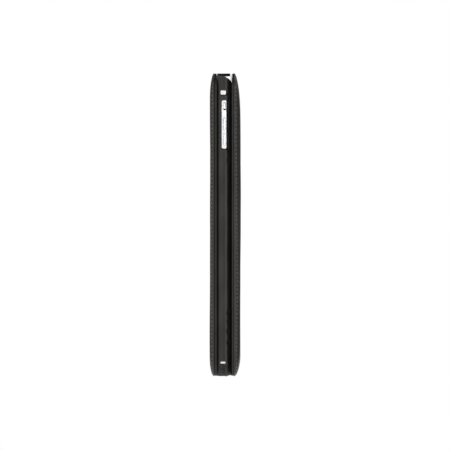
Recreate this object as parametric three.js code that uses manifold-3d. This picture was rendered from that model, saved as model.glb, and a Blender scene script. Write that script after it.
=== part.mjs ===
// A slate-type handheld in a slim stitched leather pouch.
//
// Two padded leather panels, each with a stiff board inside and a lining on its inner face, are
// joined at the sides and the base by leather gussets. The slate drops in from the open top. Three
// windows in the right-hand gusset reach its side keys. A ribbon runs down behind the slate and
// under it, and ends at the top in a leather tab that lies across the mouth: pulling it lifts the
// slate out.
//
// Frame: millimetres. X is the width, Y the thickness with the screen towards -Y, and Z is up, with
// the mouth of the pouch at the top. The origin is the middle of the pouch's base.

import * as THREE from "three";
import { mergeVertices } from "three/addons/utils/BufferGeometryUtils.js";
import Module from "manifold-3d";

const wasm = await Module();
wasm.setup();

// ---------------------------------------------------------------- driving dimensions (mm)

// Slate
const SLATE_WIDTH = 189;
const SLATE_HEIGHT = 243;
const SLATE_THICKNESS = 11.2;
const SLATE_CORNER = 8; // corner radius seen from the front
const SHELL_WALL = 1.2;
const SHELL_RIM = 0.5; // how far the glass stands proud of the shell's rim
const SIDE_FLAT = 6.5; // depth of the flat part of the slate's side, from the front
const BACK_CURVE = 8; // how far in from the side the curve of the back reaches
const GLASS_THICKNESS = 1.1;
const GASKET_WIDTH = 0.8;
const BEZEL_SIDE = 15.5; // border of the glass beside the display
const BEZEL_ENDS = 18.5; // border above and below it
const DISPLAY_THICKNESS = 2.8;

// Pouch
const LEATHER = 1.2;
const BOARD_THICKNESS = 1.0;
const PADDING_THICKNESS = 0.9;
const FRONT_COVER_DEPTH = 3.9;
const BACK_COVER_DEPTH = 5.5;
const FRONT_LINING = 1.8;
const BACK_LINING = 1.6;
const PANEL_OVERHANG = 1.6; // the panels reach past the gusset by this much on each side
const PANEL_ABOVE_SLATE = 3.6; // the mouth's edge stands above the slate by this much
const PANEL_CORNER = 11;
const SEAM_MARGIN = 5; // leather outside the board, for the edge stitching
const LINING_SET_BACK = 0.5; // the lining stops this far inside the panel's edge
const GUSSET_SCOOP = 7; // how far the gusset's free edge drops from front to back
const GUSSET_CORNER = 10; // outer radius where the gusset turns under the slate
const BASE_LIFT = 1.2; // the base gusset stands this far above the panels' lower edges

// How far in from the edge each panel's crown begins, at the top, the foot and the sides
const FRONT_CROWN = { top: 20, foot: 16, side: 2.2 };
const BACK_CROWN = { top: 44, foot: 26, side: 2.8 };

// Windows in the right-hand gusset: length along Z, width, and shift to the front of the keys' line
const KEY_WINDOW = { length: 39.9, width: 4.9, shift: 0 };
const UPPER_WINDOW = { length: 3.5, width: 5.2, shift: 0.8 };
const LOWER_WINDOW = { length: 2.0, width: 4.6, shift: 1.2 };
const WINDOW_CORNER = 1.4;
const KEY_WINDOW_BELOW = 38.9; // window centres below the slate's top
const UPPER_WINDOW_BELOW = 12.6;
const LOWER_WINDOW_ABOVE = 7.7; // window centre above the slate's foot

// Keys
const KEY_DEPTH = 6.2; // centre line of the side keys, behind the face of the glass
const KEY_WIDTH = 2.2;
const KEY_PROUD = 0.7;
const KEY_TRAVEL = 0.4;
const VOLUME_KEY_LENGTH = 10.4;
const VOLUME_UP_BELOW = 38.5; // key centres below the slate's top
const VOLUME_DOWN_BELOW = 51.1;
const LOCK_LENGTH = 4.4;
const LOCK_WIDTH = 1.9;
const LOCK_BELOW = 23.1;
const LOCK_TRAVEL = 1.6;
const POWER_KEY_IN = 28.5; // centre of the power key, in from the slate's side
const POWER_KEY_LENGTH = 11;
const HOME_BUTTON_RADIUS = 5.4;
const HOME_BUTTON_ABOVE = 11;

// Lift ribbon and tab
const RIBBON_WIDTH = 18;
const RIBBON_THICKNESS = 0.4;
const TAB_WIDTH = 22;
const TAB_THICKNESS = 2.2;
const TAB_DROP = 0.5; // the tab's upper face lies this far below the mouth's edge

// Clearances
const GAP = 0.2; // between pieces that are fixed face to face
const MOVING_GAP = 0.3; // between a moving piece and what it passes
const SLATE_TO_FRONT = 0.3; // slate to the front lining
const RIBBON_GAP = 0.15; // ribbon to the slate, and ribbon to the back lining
const SLATE_TO_GUSSET = 1.1; // room for the keys and the ribbon when the slate is lifted

// ---------------------------------------------------------------- derived places

const MOUTH = SLATE_TO_FRONT + SLATE_THICKNESS + 2 * RIBBON_GAP + RIBBON_THICKNESS;
const FRONT_STACK = FRONT_COVER_DEPTH + FRONT_LINING;
const BACK_STACK = BACK_COVER_DEPTH + BACK_LINING;
const POUCH_THICKNESS = FRONT_STACK + MOUTH + BACK_STACK;

const FRONT_FACE = -POUCH_THICKNESS / 2;
const BACK_FACE = POUCH_THICKNESS / 2;
const FRONT_COVER_INNER = FRONT_FACE + FRONT_COVER_DEPTH;
const FRONT_LINING_INNER = FRONT_FACE + FRONT_STACK;
const BACK_COVER_INNER = BACK_FACE - BACK_COVER_DEPTH;
const BACK_LINING_INNER = BACK_FACE - BACK_STACK;

const SLATE_FRONT = FRONT_LINING_INNER + SLATE_TO_FRONT;
const SLATE_BACK = SLATE_FRONT + SLATE_THICKNESS;
const SLATE_HALF = SLATE_WIDTH / 2;
const SLATE_FOOT = BASE_LIFT + LEATHER + SLATE_TO_GUSSET;
const SLATE_TOP = SLATE_FOOT + SLATE_HEIGHT;
const SIDE_KEY_Y = SLATE_FRONT + KEY_DEPTH;
const CURVE_START = SLATE_FRONT + SIDE_FLAT;
const CURVE_DEPTH = SLATE_THICKNESS - SIDE_FLAT;

const GUSSET_INNER = SLATE_HALF + SLATE_TO_GUSSET;
const GUSSET_OUTER = GUSSET_INNER + LEATHER;
const POUCH_HALF = GUSSET_OUTER + PANEL_OVERHANG;
const POUCH_TOP = SLATE_TOP + PANEL_ABOVE_SLATE;
const GUSSET_TOP = POUCH_TOP - TAB_DROP - TAB_THICKNESS - GAP;

const CAVITY_BACK = SLATE_BACK - SHELL_WALL; // inner face of the shell's back
const CAVITY_HALF = SLATE_HALF - SHELL_WALL;
const CAVITY_FOOT = SLATE_FOOT + SHELL_WALL;
const CAVITY_TOP = SLATE_TOP - SHELL_WALL;
const RIM_PLANE = SLATE_FRONT + SHELL_RIM;
const GLASS_INNER = SLATE_FRONT + GLASS_THICKNESS;
const DISPLAY_FRONT = GLASS_INNER + GAP;
const DISPLAY_BACK = DISPLAY_FRONT + DISPLAY_THICKNESS;

const ARC_STEPS = 8; // straight steps in a quarter turn
const CUT_PAST = 1; // a cutting tool reaches this far past the face that it cuts
const CUT_IN = 2;

// ---------------------------------------------------------------- materials

const leather = { color: 0x2b2b2c, roughness: 0.55, metalness: 0 };
const suede = { color: 0x232324, roughness: 0.9, metalness: 0 };
const card = { color: 0x8f8573, roughness: 0.9, metalness: 0 };
const foam = { color: 0x4a4a4c, roughness: 1, metalness: 0 };
const ribbon = { color: 0x1d1d1f, roughness: 0.7, metalness: 0 };
const aluminium = { color: 0xe2e3e5, roughness: 0.35, metalness: 1 };
const polished = { color: 0xeceded, roughness: 0.15, metalness: 1 };
const glass = { color: 0x0b0c0e, roughness: 0.05, metalness: 0 };
const blackPlastic = { color: 0x151517, roughness: 0.4, metalness: 0 };
const panelGlass = { color: 0x22262b, roughness: 0.2, metalness: 0 };
const cellFoil = { color: 0xa9abb0, roughness: 0.4, metalness: 0.6 };
const boardGreen = { color: 0x1c4a36, roughness: 0.5, metalness: 0 };
const steel = { color: 0xb9bcc0, roughness: 0.3, metalness: 1 };

// ---------------------------------------------------------------- solids and shapes

/** A closed manifold-3d solid from a three.js geometry. */
function toSolid(geometry) {
  const bare = geometry.clone();
  bare.deleteAttribute("normal");
  bare.deleteAttribute("uv");
  const merged = mergeVertices(bare, 1e-5);
  const vertProperties = new Float32Array(merged.attributes.position.array);
  const triVerts = new Uint32Array(merged.index.array);
  return new wasm.Manifold(new wasm.Mesh({ numProp: 3, vertProperties, triVerts }));
}

/** A three.js geometry from a manifold-3d solid. */
function toGeometry(solid) {
  const mesh = solid.getMesh();
  const geometry = new THREE.BufferGeometry();
  geometry.setAttribute("position", new THREE.BufferAttribute(new Float32Array(mesh.vertProperties), 3));
  geometry.setIndex(new THREE.BufferAttribute(new Uint32Array(mesh.triVerts), 1));
  return geometry;
}

/** The first geometry with each of the others cut away. */
function cut(base, ...tools) {
  return toGeometry(tools.reduce((solid, tool) => solid.subtract(toSolid(tool)), toSolid(base)));
}

/** The geometries joined into one. */
function join(base, ...others) {
  return toGeometry(others.reduce((solid, other) => solid.add(toSolid(other)), toSolid(base)));
}

/** The part of a geometry that lies inside another. */
function common(base, tool) {
  return toGeometry(toSolid(base).intersect(toSolid(tool)));
}

/** A rounded rectangle, from its lower-left to its upper-right corner. */
function roundedRect(x0, y0, x1, y1, radius) {
  const r = Math.min(radius, (x1 - x0) / 2 - 1e-3, (y1 - y0) / 2 - 1e-3);
  const shape = new THREE.Shape();
  shape.absarc(x1 - r, y0 + r, r, -Math.PI / 2, 0, false);
  shape.absarc(x1 - r, y1 - r, r, 0, Math.PI / 2, false);
  shape.absarc(x0 + r, y1 - r, r, Math.PI / 2, Math.PI, false);
  shape.absarc(x0 + r, y0 + r, r, Math.PI, 1.5 * Math.PI, false);
  shape.closePath();
  return shape;
}

/** A shape drawn in X and Z, as a plate between two depths in Y. */
function plateXZ(shape, y0, y1, curveSegments = ARC_STEPS) {
  const plate = new THREE.ExtrudeGeometry(shape, { depth: y1 - y0, bevelEnabled: false, curveSegments });
  plate.rotateX(Math.PI / 2);
  plate.translate(0, y1, 0);
  return plate;
}

/** A shape drawn in Y and Z, as a prism between two places in X. */
function prismYZ(shape, x0, x1, curveSegments = ARC_STEPS) {
  const prism = new THREE.ExtrudeGeometry(shape, { depth: x1 - x0, bevelEnabled: false, curveSegments });
  prism.applyMatrix4(new THREE.Matrix4().set(0, 0, 1, x0, 1, 0, 0, 0, 0, 1, 0, 0, 0, 0, 0, 1));
  return prism;
}

/** A shape drawn in X and Y, as a prism between two heights. */
function prismXY(shape, z0, z1, curveSegments = ARC_STEPS) {
  const prism = new THREE.ExtrudeGeometry(shape, { depth: z1 - z0, bevelEnabled: false, curveSegments });
  prism.translate(0, 0, z0);
  return prism;
}

/** A box from its lowest to its highest corner. */
function block(x0, y0, z0, x1, y1, z1) {
  const box = new THREE.BoxGeometry(x1 - x0, y1 - y0, z1 - z0);
  box.translate((x0 + x1) / 2, (y0 + y1) / 2, (z0 + z1) / 2);
  return box;
}

/** A closed path through points given as [x, y] pairs. */
function polygon(points) {
  return new THREE.Shape(points.map(([x, y]) => new THREE.Vector2(x, y)));
}

/** The points round a rounded rectangle at one depth Y. */
function ringAt(y, halfWidth, z0, z1, radius) {
  const points = [];
  const r = Math.max(radius, 0.5);
  const corners = [
    [halfWidth - r, z0 + r, -Math.PI / 2],
    [halfWidth - r, z1 - r, 0],
    [-halfWidth + r, z1 - r, Math.PI / 2],
    [-halfWidth + r, z0 + r, Math.PI],
  ];
  for (const [cx, cz, start] of corners) {
    for (let i = 0; i <= ARC_STEPS; i++) {
      const angle = start + (i / ARC_STEPS) * (Math.PI / 2);
      points.push([cx + r * Math.cos(angle), y, cz + r * Math.sin(angle)]);
    }
  }
  return points;
}

/** Six times the volume inside a triangle mesh, negative when its faces point in. */
function signedVolume(vertices, faces) {
  const corner = (i) => new THREE.Vector3(...vertices.slice(3 * faces[i], 3 * faces[i] + 3));
  let sum = 0;
  for (let i = 0; i < faces.length; i += 3) {
    sum += corner(i).dot(corner(i + 1).cross(corner(i + 2)));
  }
  return sum;
}

/** A closed body through rings with equal numbers of points. `section` is the rings' flat shape. */
function loft(rings, section) {
  const count = rings[0].length;
  const vertices = rings.flat(2);
  const faces = [];
  for (let level = 0; level + 1 < rings.length; level++) {
    for (let i = 0; i < count; i++) {
      const a = level * count + i;
      const b = level * count + ((i + 1) % count);
      faces.push(a, a + count, b, b, a + count, b + count);
    }
  }
  const contour = section.map(([u, v]) => new THREE.Vector2(u, v));
  const last = (rings.length - 1) * count;
  for (const cap of THREE.ShapeUtils.triangulateShape(contour, [])) {
    const [i, j, k] = THREE.ShapeUtils.area(contour) > 0 ? cap : cap.reverse();
    faces.push(i, j, k, last + i, last + k, last + j);
  }
  if (signedVolume(vertices, faces) < 0) {
    faces.reverse();
  }
  const geometry = new THREE.BufferGeometry();
  geometry.setAttribute("position", new THREE.Float32BufferAttribute(vertices, 3));
  geometry.setIndex(faces);
  return geometry;
}

/** The shape of a ring from ringAt, as [x, z] pairs. */
function ringShape(ring) {
  return ring.map(([x, , z]) => [x, z]);
}

/** A named mesh with its own material. */
function part(name, geometry, look) {
  const mesh = new THREE.Mesh(geometry, new THREE.MeshStandardMaterial(look));
  mesh.name = name;
  return mesh;
}

// ---------------------------------------------------------------- pouch panels

/** How far in from the edge a quarter-ellipse crown has risen to a share of its full depth. */
function crownInset(reach, share) {
  return reach * (1 - Math.sqrt(1 - share * share));
}

/** A padded cover: a plate whose outer face is crowned in a quarter ellipse from every edge. */
function crownedCover(innerY, outerY, crown) {
  const rings = [];
  for (let i = 0; i <= ARC_STEPS; i++) {
    const angle = (i / ARC_STEPS) * (Math.PI / 2);
    const rise = 1 - Math.cos(angle);
    const side = crown.side * rise;
    rings.push(
      ringAt(
        innerY + (outerY - innerY) * Math.sin(angle),
        POUCH_HALF - side,
        crown.foot * rise,
        POUCH_TOP - crown.top * rise,
        PANEL_CORNER - side,
      ),
    );
  }
  return loft(rings, ringShape(rings[0]));
}

/** The room inside a cover for its board and padding, between two depths, less a clearance. */
function pocketShape(depth, crown, clearance) {
  const share = Math.min((BOARD_THICKNESS + PADDING_THICKNESS + 3 * GAP + LEATHER) / depth, 0.95);
  const side = POUCH_HALF - crownInset(crown.side, share) - SEAM_MARGIN - clearance;
  const foot = crownInset(crown.foot, share) + SEAM_MARGIN + clearance;
  const top = POUCH_TOP - crownInset(crown.top, share) - SEAM_MARGIN - clearance;
  return roundedRect(-side, foot, side, top, PANEL_CORNER - SEAM_MARGIN);
}

/** One panel of the pouch: cover, padding and board. `outward` is -1 at the front, 1 at the back. */
function panel(side, innerY, depth, crown, outward) {
  const outerY = innerY + outward * depth;
  const pocketDepth = BOARD_THICKNESS + PADDING_THICKNESS + 2 * GAP;
  const layer = (from, to, clearance) => {
    const near = innerY + outward * from;
    const far = innerY + outward * to;
    return plateXZ(pocketShape(depth, crown, clearance), Math.min(near, far), Math.max(near, far));
  };
  const boardFar = GAP + BOARD_THICKNESS;
  const cover = cut(crownedCover(innerY, outerY, crown), layer(-CUT_PAST, pocketDepth + GAP, 0));
  return [
    part(`${side}_panel_cover`, cover, leather),
    part(`${side}_panel_board`, layer(GAP, boardFar, GAP), card),
    part(`${side}_panel_padding`, layer(boardFar + GAP, boardFar + GAP + PADDING_THICKNESS, GAP), foam),
  ];
}

/** A lining: a flat sheet whose folded edge shows as the rim beside the gusset. */
function lining(side, y0, y1) {
  const half = POUCH_HALF - LINING_SET_BACK;
  const radius = PANEL_CORNER - LINING_SET_BACK;
  const shape = roundedRect(-half, LINING_SET_BACK, half, POUCH_TOP - LINING_SET_BACK, radius);
  return part(`${side}_lining`, plateXZ(shape, y0, y1), suede);
}

// ---------------------------------------------------------------- gussets

/** The slate's side seen from above, moved out by `offset`: [x, y] pairs from front to back. */
function sideProfile(offset, frontY, backY) {
  const points = [[SLATE_HALF + offset, frontY]];
  const depth = CURVE_DEPTH + offset;
  const end = Math.asin(Math.min((backY - CURVE_START) / depth, 1));
  for (let i = 0; i <= ARC_STEPS; i++) {
    const angle = (i / ARC_STEPS) * end;
    const reach = BACK_CURVE + offset;
    const x = SLATE_HALF + offset - reach * (1 - Math.cos(angle));
    points.push([x, CURVE_START + depth * Math.sin(angle)]);
  }
  return points;
}

/** Everything above the gusset's free edge, which drops in a quarter ellipse towards the back. */
function aboveScoop(x0, x1) {
  const front = FRONT_LINING_INNER - CUT_PAST;
  const back = BACK_LINING_INNER + CUT_PAST;
  const edge = [];
  for (let i = 0; i <= ARC_STEPS; i++) {
    const angle = (i / ARC_STEPS) * (Math.PI / 2);
    const drop = GUSSET_SCOOP * (1 - Math.cos(angle));
    edge.push([front + (back - front) * Math.sin(angle), GUSSET_TOP - drop]);
  }
  const over = POUCH_TOP + CUT_PAST;
  return prismYZ(polygon([...edge, [back, over], [front, over]]), x0, x1);
}

/** A window through the right-hand gusset, centred at a height. */
function gussetWindow({ length, width, shift }, centreZ) {
  const front = SIDE_KEY_Y - shift - width / 2;
  const foot = centreZ - length / 2;
  const shape = roundedRect(front, foot, front + width, foot + length, WINDOW_CORNER);
  return prismYZ(shape, SLATE_HALF, POUCH_HALF + CUT_PAST);
}

/** The gusset's cross-section: [distance in from its outer face, y] pairs, round the strip. */
function gussetSection() {
  const front = FRONT_LINING_INNER + GAP;
  const back = BACK_LINING_INNER - GAP;
  const inner = sideProfile(SLATE_TO_GUSSET, front, back);
  const outer = sideProfile(SLATE_TO_GUSSET + LEATHER, front, back).reverse();
  return [...inner, ...outer].map(([x, y]) => [GUSSET_OUTER - x, y]);
}

/** The gusset's strip along a path of stations [x, z, inward x, inward z]. */
function gussetStrip(stations) {
  const section = gussetSection();
  const rings = stations.map(([x, z, inX, inZ]) => section.map(([u, y]) => [x + inX * u, y, z + inZ * u]));
  return loft(rings, section);
}

/** One side's strip: up the right-hand side of the pouch, and round the corner below it. */
function sideStrip(windows) {
  const stations = [[GUSSET_OUTER, POUCH_TOP, -1, 0]];
  for (let i = 0; i <= ARC_STEPS; i++) {
    const angle = (i / ARC_STEPS) * (Math.PI / 2);
    const across = Math.cos(angle);
    const down = Math.sin(angle);
    const x = GUSSET_OUTER - GUSSET_CORNER * (1 - across);
    const z = BASE_LIFT + GUSSET_CORNER * (1 - down);
    stations.push([x, z, -across, down]);
  }
  return cut(gussetStrip(stations), aboveScoop(0, POUCH_HALF + CUT_PAST), ...windows);
}

/** The left gusset, which has no windows. */
function leftGusset() {
  const geometry = sideStrip([]);
  geometry.scale(-1, 1, 1);
  geometry.index.array.reverse();
  return part("left_gusset", geometry, leather);
}

/** The right gusset, in four pieces that meet round its key window and leave the window open. */
function rightGusset() {
  const keyWindowZ = SLATE_TOP - KEY_WINDOW_BELOW;
  const strip = sideStrip([
    gussetWindow(KEY_WINDOW, keyWindowZ),
    gussetWindow(UPPER_WINDOW, SLATE_TOP - UPPER_WINDOW_BELOW),
    gussetWindow(LOWER_WINDOW, SLATE_FOOT + LOWER_WINDOW_ABOVE),
  ]);
  const straight = KEY_WINDOW.length / 2 - WINDOW_CORNER;
  const foot = keyWindowZ - straight;
  const head = keyWindowZ + straight;
  const middle = SIDE_KEY_Y - KEY_WINDOW.shift;
  const front = FRONT_LINING_INNER;
  const back = BACK_LINING_INNER;
  const span = (y0, z0, y1, z1) => common(strip, block(0, y0, z0, POUCH_HALF, y1, z1));
  return [
    part("right_gusset", span(front, 0, back, foot), leather),
    part("right_gusset_top", span(front, head, back, POUCH_TOP), leather),
    part("key_window_front", span(front, foot + GAP, middle, head - GAP), leather),
    part("key_window_back", span(middle, foot + GAP, back, head - GAP), leather),
  ];
}

/** The base of the pouch, between the two corners. */
function baseGusset() {
  const end = GUSSET_OUTER - GUSSET_CORNER - GAP;
  const stations = [end, -end].map((x) => [x, BASE_LIFT, 0, 1]);
  return part("base_gusset", gussetStrip(stations), leather);
}

// ---------------------------------------------------------------- slate casing

/** Rings of the slate's body, moved in by `inset`: a flat side, then an elliptical back edge. */
function slateBody(inset, frontY) {
  const ring = (y, curve) =>
    ringAt(
      y,
      SLATE_HALF - inset - curve,
      SLATE_FOOT + inset + curve,
      SLATE_TOP - inset - curve,
      SLATE_CORNER - inset - curve,
    );
  const rings = [ring(frontY, 0)];
  for (let i = 0; i <= ARC_STEPS; i++) {
    const angle = (i / ARC_STEPS) * (Math.PI / 2);
    const curve = (BACK_CURVE - inset) * (1 - Math.cos(angle));
    rings.push(ring(CURVE_START + (CURVE_DEPTH - inset) * Math.sin(angle), curve));
  }
  return loft(rings, ringShape(rings[0]));
}

/** A pill shape in Y and Z, as a prism along X through the slate's right-hand wall. */
function pillAlongX(centreZ, width, length, x0, x1, centreY = SIDE_KEY_Y) {
  const half = width / 2;
  const reach = length / 2;
  const shape = roundedRect(centreY - half, centreZ - reach, centreY + half, centreZ + reach, half);
  return prismYZ(shape, x0, x1, 6);
}

/** A pill shape in X and Y, as a prism along Z. */
function pillAlongZ(centreX, length, width, z0, z1, centreY = SIDE_KEY_Y) {
  const half = width / 2;
  const reach = length / 2;
  const shape = roundedRect(centreX - reach, centreY - half, centreX + reach, centreY + half, half);
  return prismXY(shape, z0, z1, 6);
}

/** A round bar along Z. */
function roundBar(centreX, centreY, radius, z0, z1, sides = 20) {
  const bar = new THREE.CylinderGeometry(radius, radius, z1 - z0, sides);
  bar.rotateX(Math.PI / 2);
  bar.translate(centreX, centreY, (z0 + z1) / 2);
  return bar;
}

/** A round bar along Y. */
function roundBarY(centreX, centreZ, radius, y0, y1, sides = 32) {
  const bar = new THREE.CylinderGeometry(radius, radius, y1 - y0, sides);
  bar.translate(centreX, (y0 + y1) / 2, centreZ);
  return bar;
}

/** How far the shell's cavity has drawn in at a depth, from where its side is flat. */
function cavityInset(y) {
  const share = Math.max(y - CURVE_START, 0) / (CURVE_DEPTH - SHELL_WALL);
  return (BACK_CURVE - SHELL_WALL) * (1 - Math.sqrt(1 - Math.min(share, 1) ** 2));
}

const JACK_FROM_CORNER = 20.5;
const JACK_X = SLATE_CORNER + JACK_FROM_CORNER - SLATE_HALF;
const JACK_Y = (GLASS_INNER + CAVITY_BACK) / 2;
const JACK_BORE = 1.8;
const JACK_RADIUS = 2.6;
const JACK_FLOOR = 1;
const SPEAKER_FROM_SIDE = 42.5;
const SPEAKER_X = SLATE_HALF - SPEAKER_FROM_SIDE;
const SPEAKER_SLOT = { length: 6, width: 1.6, pitch: 8 };
const SOCKET_WALL = 0.5;
const DOCK_HALF = 12.5;
const DOCK_HEIGHT = 2.4;
const DOCK_Y = DISPLAY_BACK + 2 * GAP + SOCKET_WALL + DOCK_HEIGHT / 2;
const POWER_KEY_X = SLATE_HALF - POWER_KEY_IN;
const VOLUME_KEYS = [
  ["volume_up_key", SLATE_TOP - VOLUME_UP_BELOW],
  ["volume_down_key", SLATE_TOP - VOLUME_DOWN_BELOW],
];
const LOCK_Z = SLATE_TOP - LOCK_BELOW;
const HOME_Z = SLATE_FOOT + HOME_BUTTON_ABOVE;

/** The aluminium rear shell: a tub, open at the front, with holes for its keys and sockets. */
function rearShell() {
  const slotFor = (size) => size + 2 * MOVING_GAP;
  const sideHole = (z, width, length) =>
    pillAlongX(z, slotFor(width), slotFor(length), CAVITY_HALF - CUT_IN, SLATE_HALF + CUT_PAST);
  const holes = VOLUME_KEYS.map(([, z]) => sideHole(z, KEY_WIDTH, VOLUME_KEY_LENGTH));
  holes.push(sideHole(LOCK_Z - LOCK_TRAVEL / 2, LOCK_WIDTH, LOCK_LENGTH + LOCK_TRAVEL));
  const powerSlot = [slotFor(POWER_KEY_LENGTH), slotFor(KEY_WIDTH)];
  const throughTop = [CAVITY_TOP - CUT_IN, SLATE_TOP + CUT_PAST];
  holes.push(pillAlongZ(POWER_KEY_X, ...powerSlot, ...throughTop));
  holes.push(roundBar(JACK_X, JACK_Y, JACK_BORE, ...throughTop));
  const footHole = (x, length, width) =>
    pillAlongZ(x, length, width, SLATE_FOOT - CUT_PAST, CAVITY_FOOT + BACK_CURVE, DOCK_Y);
  holes.push(footHole(0, 2 * DOCK_HALF, DOCK_HEIGHT));
  for (const step of [-1, 0, 1]) {
    const x = SPEAKER_X + SPEAKER_SLOT.pitch * step;
    holes.push(footHole(x, SPEAKER_SLOT.length, SPEAKER_SLOT.width));
  }
  const body = slateBody(0, RIM_PLANE);
  return part("rear_shell", cut(body, slateBody(SHELL_WALL, RIM_PLANE - CUT_PAST), ...holes), aluminium);
}

/** A rounded plate of the slate's outline, moved in by `inset`, between two depths. */
function slateOutline(inset, y0, y1) {
  const half = SLATE_HALF - inset;
  const shape = roundedRect(-half, SLATE_FOOT + inset, half, SLATE_TOP - inset, SLATE_CORNER - inset);
  return plateXZ(shape, y0, y1);
}

/** The cover glass, its gasket and the display behind it. */
function screen() {
  const gasketOuter = SHELL_WALL + GAP;
  const gasketInner = gasketOuter + GASKET_WIDTH;
  const throughGlass = [SLATE_FRONT - CUT_PAST, GLASS_INNER + CUT_PAST];
  const bore = roundBarY(0, HOME_Z, HOME_BUTTON_RADIUS + MOVING_GAP, ...throughGlass);
  const gasketFront = RIM_PLANE;
  const gasketBack = GLASS_INNER;
  const gasket = cut(
    slateOutline(gasketOuter, gasketFront, gasketBack),
    slateOutline(gasketInner, gasketFront - CUT_PAST, gasketBack + CUT_PAST),
  );
  const displayHalf = SLATE_HALF - BEZEL_SIDE;
  const displayFoot = SLATE_FOOT + BEZEL_ENDS;
  const displayTop = SLATE_TOP - BEZEL_ENDS;
  const display = block(-displayHalf, DISPLAY_FRONT, displayFoot, displayHalf, DISPLAY_BACK, displayTop);
  return [
    part("cover_glass", cut(slateOutline(gasketInner + GAP, SLATE_FRONT, GLASS_INNER), bore), glass),
    part("glass_gasket", gasket, blackPlastic),
    part("display_module", display, panelGlass),
  ];
}

// ---------------------------------------------------------------- inside the slate

const FLANGE_THICKNESS = 0.8;
const FLANGE_MARGIN = 0.7; // how far a key's flange reaches past its stem
const FLANGE_INSET = cavityInset(SIDE_KEY_Y + KEY_WIDTH / 2 + FLANGE_MARGIN) + GAP;
const FLANGE_OUTER = CAVITY_HALF - FLANGE_INSET;
const SWITCH_FACE = FLANGE_OUTER - FLANGE_THICKNESS - KEY_TRAVEL - GAP;
const SWITCH_HEIGHT = 1.6;
const SIDE_BOARD_THICKNESS = 0.8;
const SIDE_BOARD_OUTER = SWITCH_FACE - SWITCH_HEIGHT;
const SIDE_BOARD_INNER = SIDE_BOARD_OUTER - SIDE_BOARD_THICKNESS;
const SOLDER = 0.1; // between a switch and its board
const WELD = 0.1; // how far two joined shapes run into each other

const INNER_FRONT = DISPLAY_BACK + GAP; // the boards and cells lie behind the display
const INNER_BACK = CAVITY_BACK - GAP;
const MAIN_BOARD_THICKNESS = 1.0;
const BOARD_STANDOFF = 0.6;
const BOARD_BACK = INNER_BACK - BOARD_STANDOFF;
const BOARD_FRONT = BOARD_BACK - MAIN_BOARD_THICKNESS;
const CELL_GAP = 2;
const CELLS_LEFT = -(CAVITY_HALF - BACK_CURVE);
const BOARD_ZONE = 67.5; // width left at the right for the main board and the keys
const CELLS_RIGHT = SLATE_HALF - BOARD_ZONE;
const CELLS_ABOVE_FOOT = 38;
const CELLS_BELOW_TOP = 32;
const CELL_CORNER = 3;
const CELLS_FOOT = SLATE_FOOT + CELLS_ABOVE_FOOT;
const CELLS_TOP = SLATE_TOP - CELLS_BELOW_TOP;
const BOARD_LEFT = CELLS_RIGHT + CELL_GAP;
const BOARD_RIGHT = SIDE_BOARD_INNER - CELL_GAP;
const BOARD_ABOVE_FOOT = 56;
const BOARD_BELOW_TOP = 22;
const BOARD_CORNER = 2;
const BOARD_FOOT = SLATE_FOOT + BOARD_ABOVE_FOOT;
const BOARD_TOP = SLATE_TOP - BOARD_BELOW_TOP;

/** Two flat battery cells side by side. */
function batteryCells() {
  const width = (CELLS_RIGHT - CELLS_LEFT - CELL_GAP) / 2;
  return ["left", "right"].map((side, i) => {
    const x0 = CELLS_LEFT + i * (width + CELL_GAP);
    const shape = roundedRect(x0, CELLS_FOOT, x0 + width, CELLS_TOP, CELL_CORNER);
    return part(`battery_cell_${side}`, plateXZ(shape, INNER_FRONT, INNER_BACK, 4), cellFoil);
  });
}

const SCREW_SHAFT = 0.8;
const SCREW_HEAD = 1.7;
const SCREW_HEAD_THICKNESS = 0.8;
const SCREW_PAST_BOARD = 0.5;
const SCREW_INSET = 4;
const BOARD_HOLES = [
  [BOARD_LEFT + SCREW_INSET, BOARD_FOOT + SCREW_INSET],
  [BOARD_RIGHT - SCREW_INSET, BOARD_FOOT + SCREW_INSET],
  [BOARD_LEFT + SCREW_INSET, BOARD_TOP - SCREW_INSET],
  [BOARD_RIGHT - SCREW_INSET, BOARD_TOP - SCREW_INSET],
];
const CAN_CORNER = 1.5;
const CAN_MARGIN = 12; // from the board's ends to the outer cans
const PROCESSOR_SHIELD = { height: 36, halfWidth: 18, raised: 4 };
const POWER_SHIELD = { height: 28, halfWidth: 15 };
const WIRELESS_MODULE = { height: 16, halfWidth: 14 };

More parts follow.
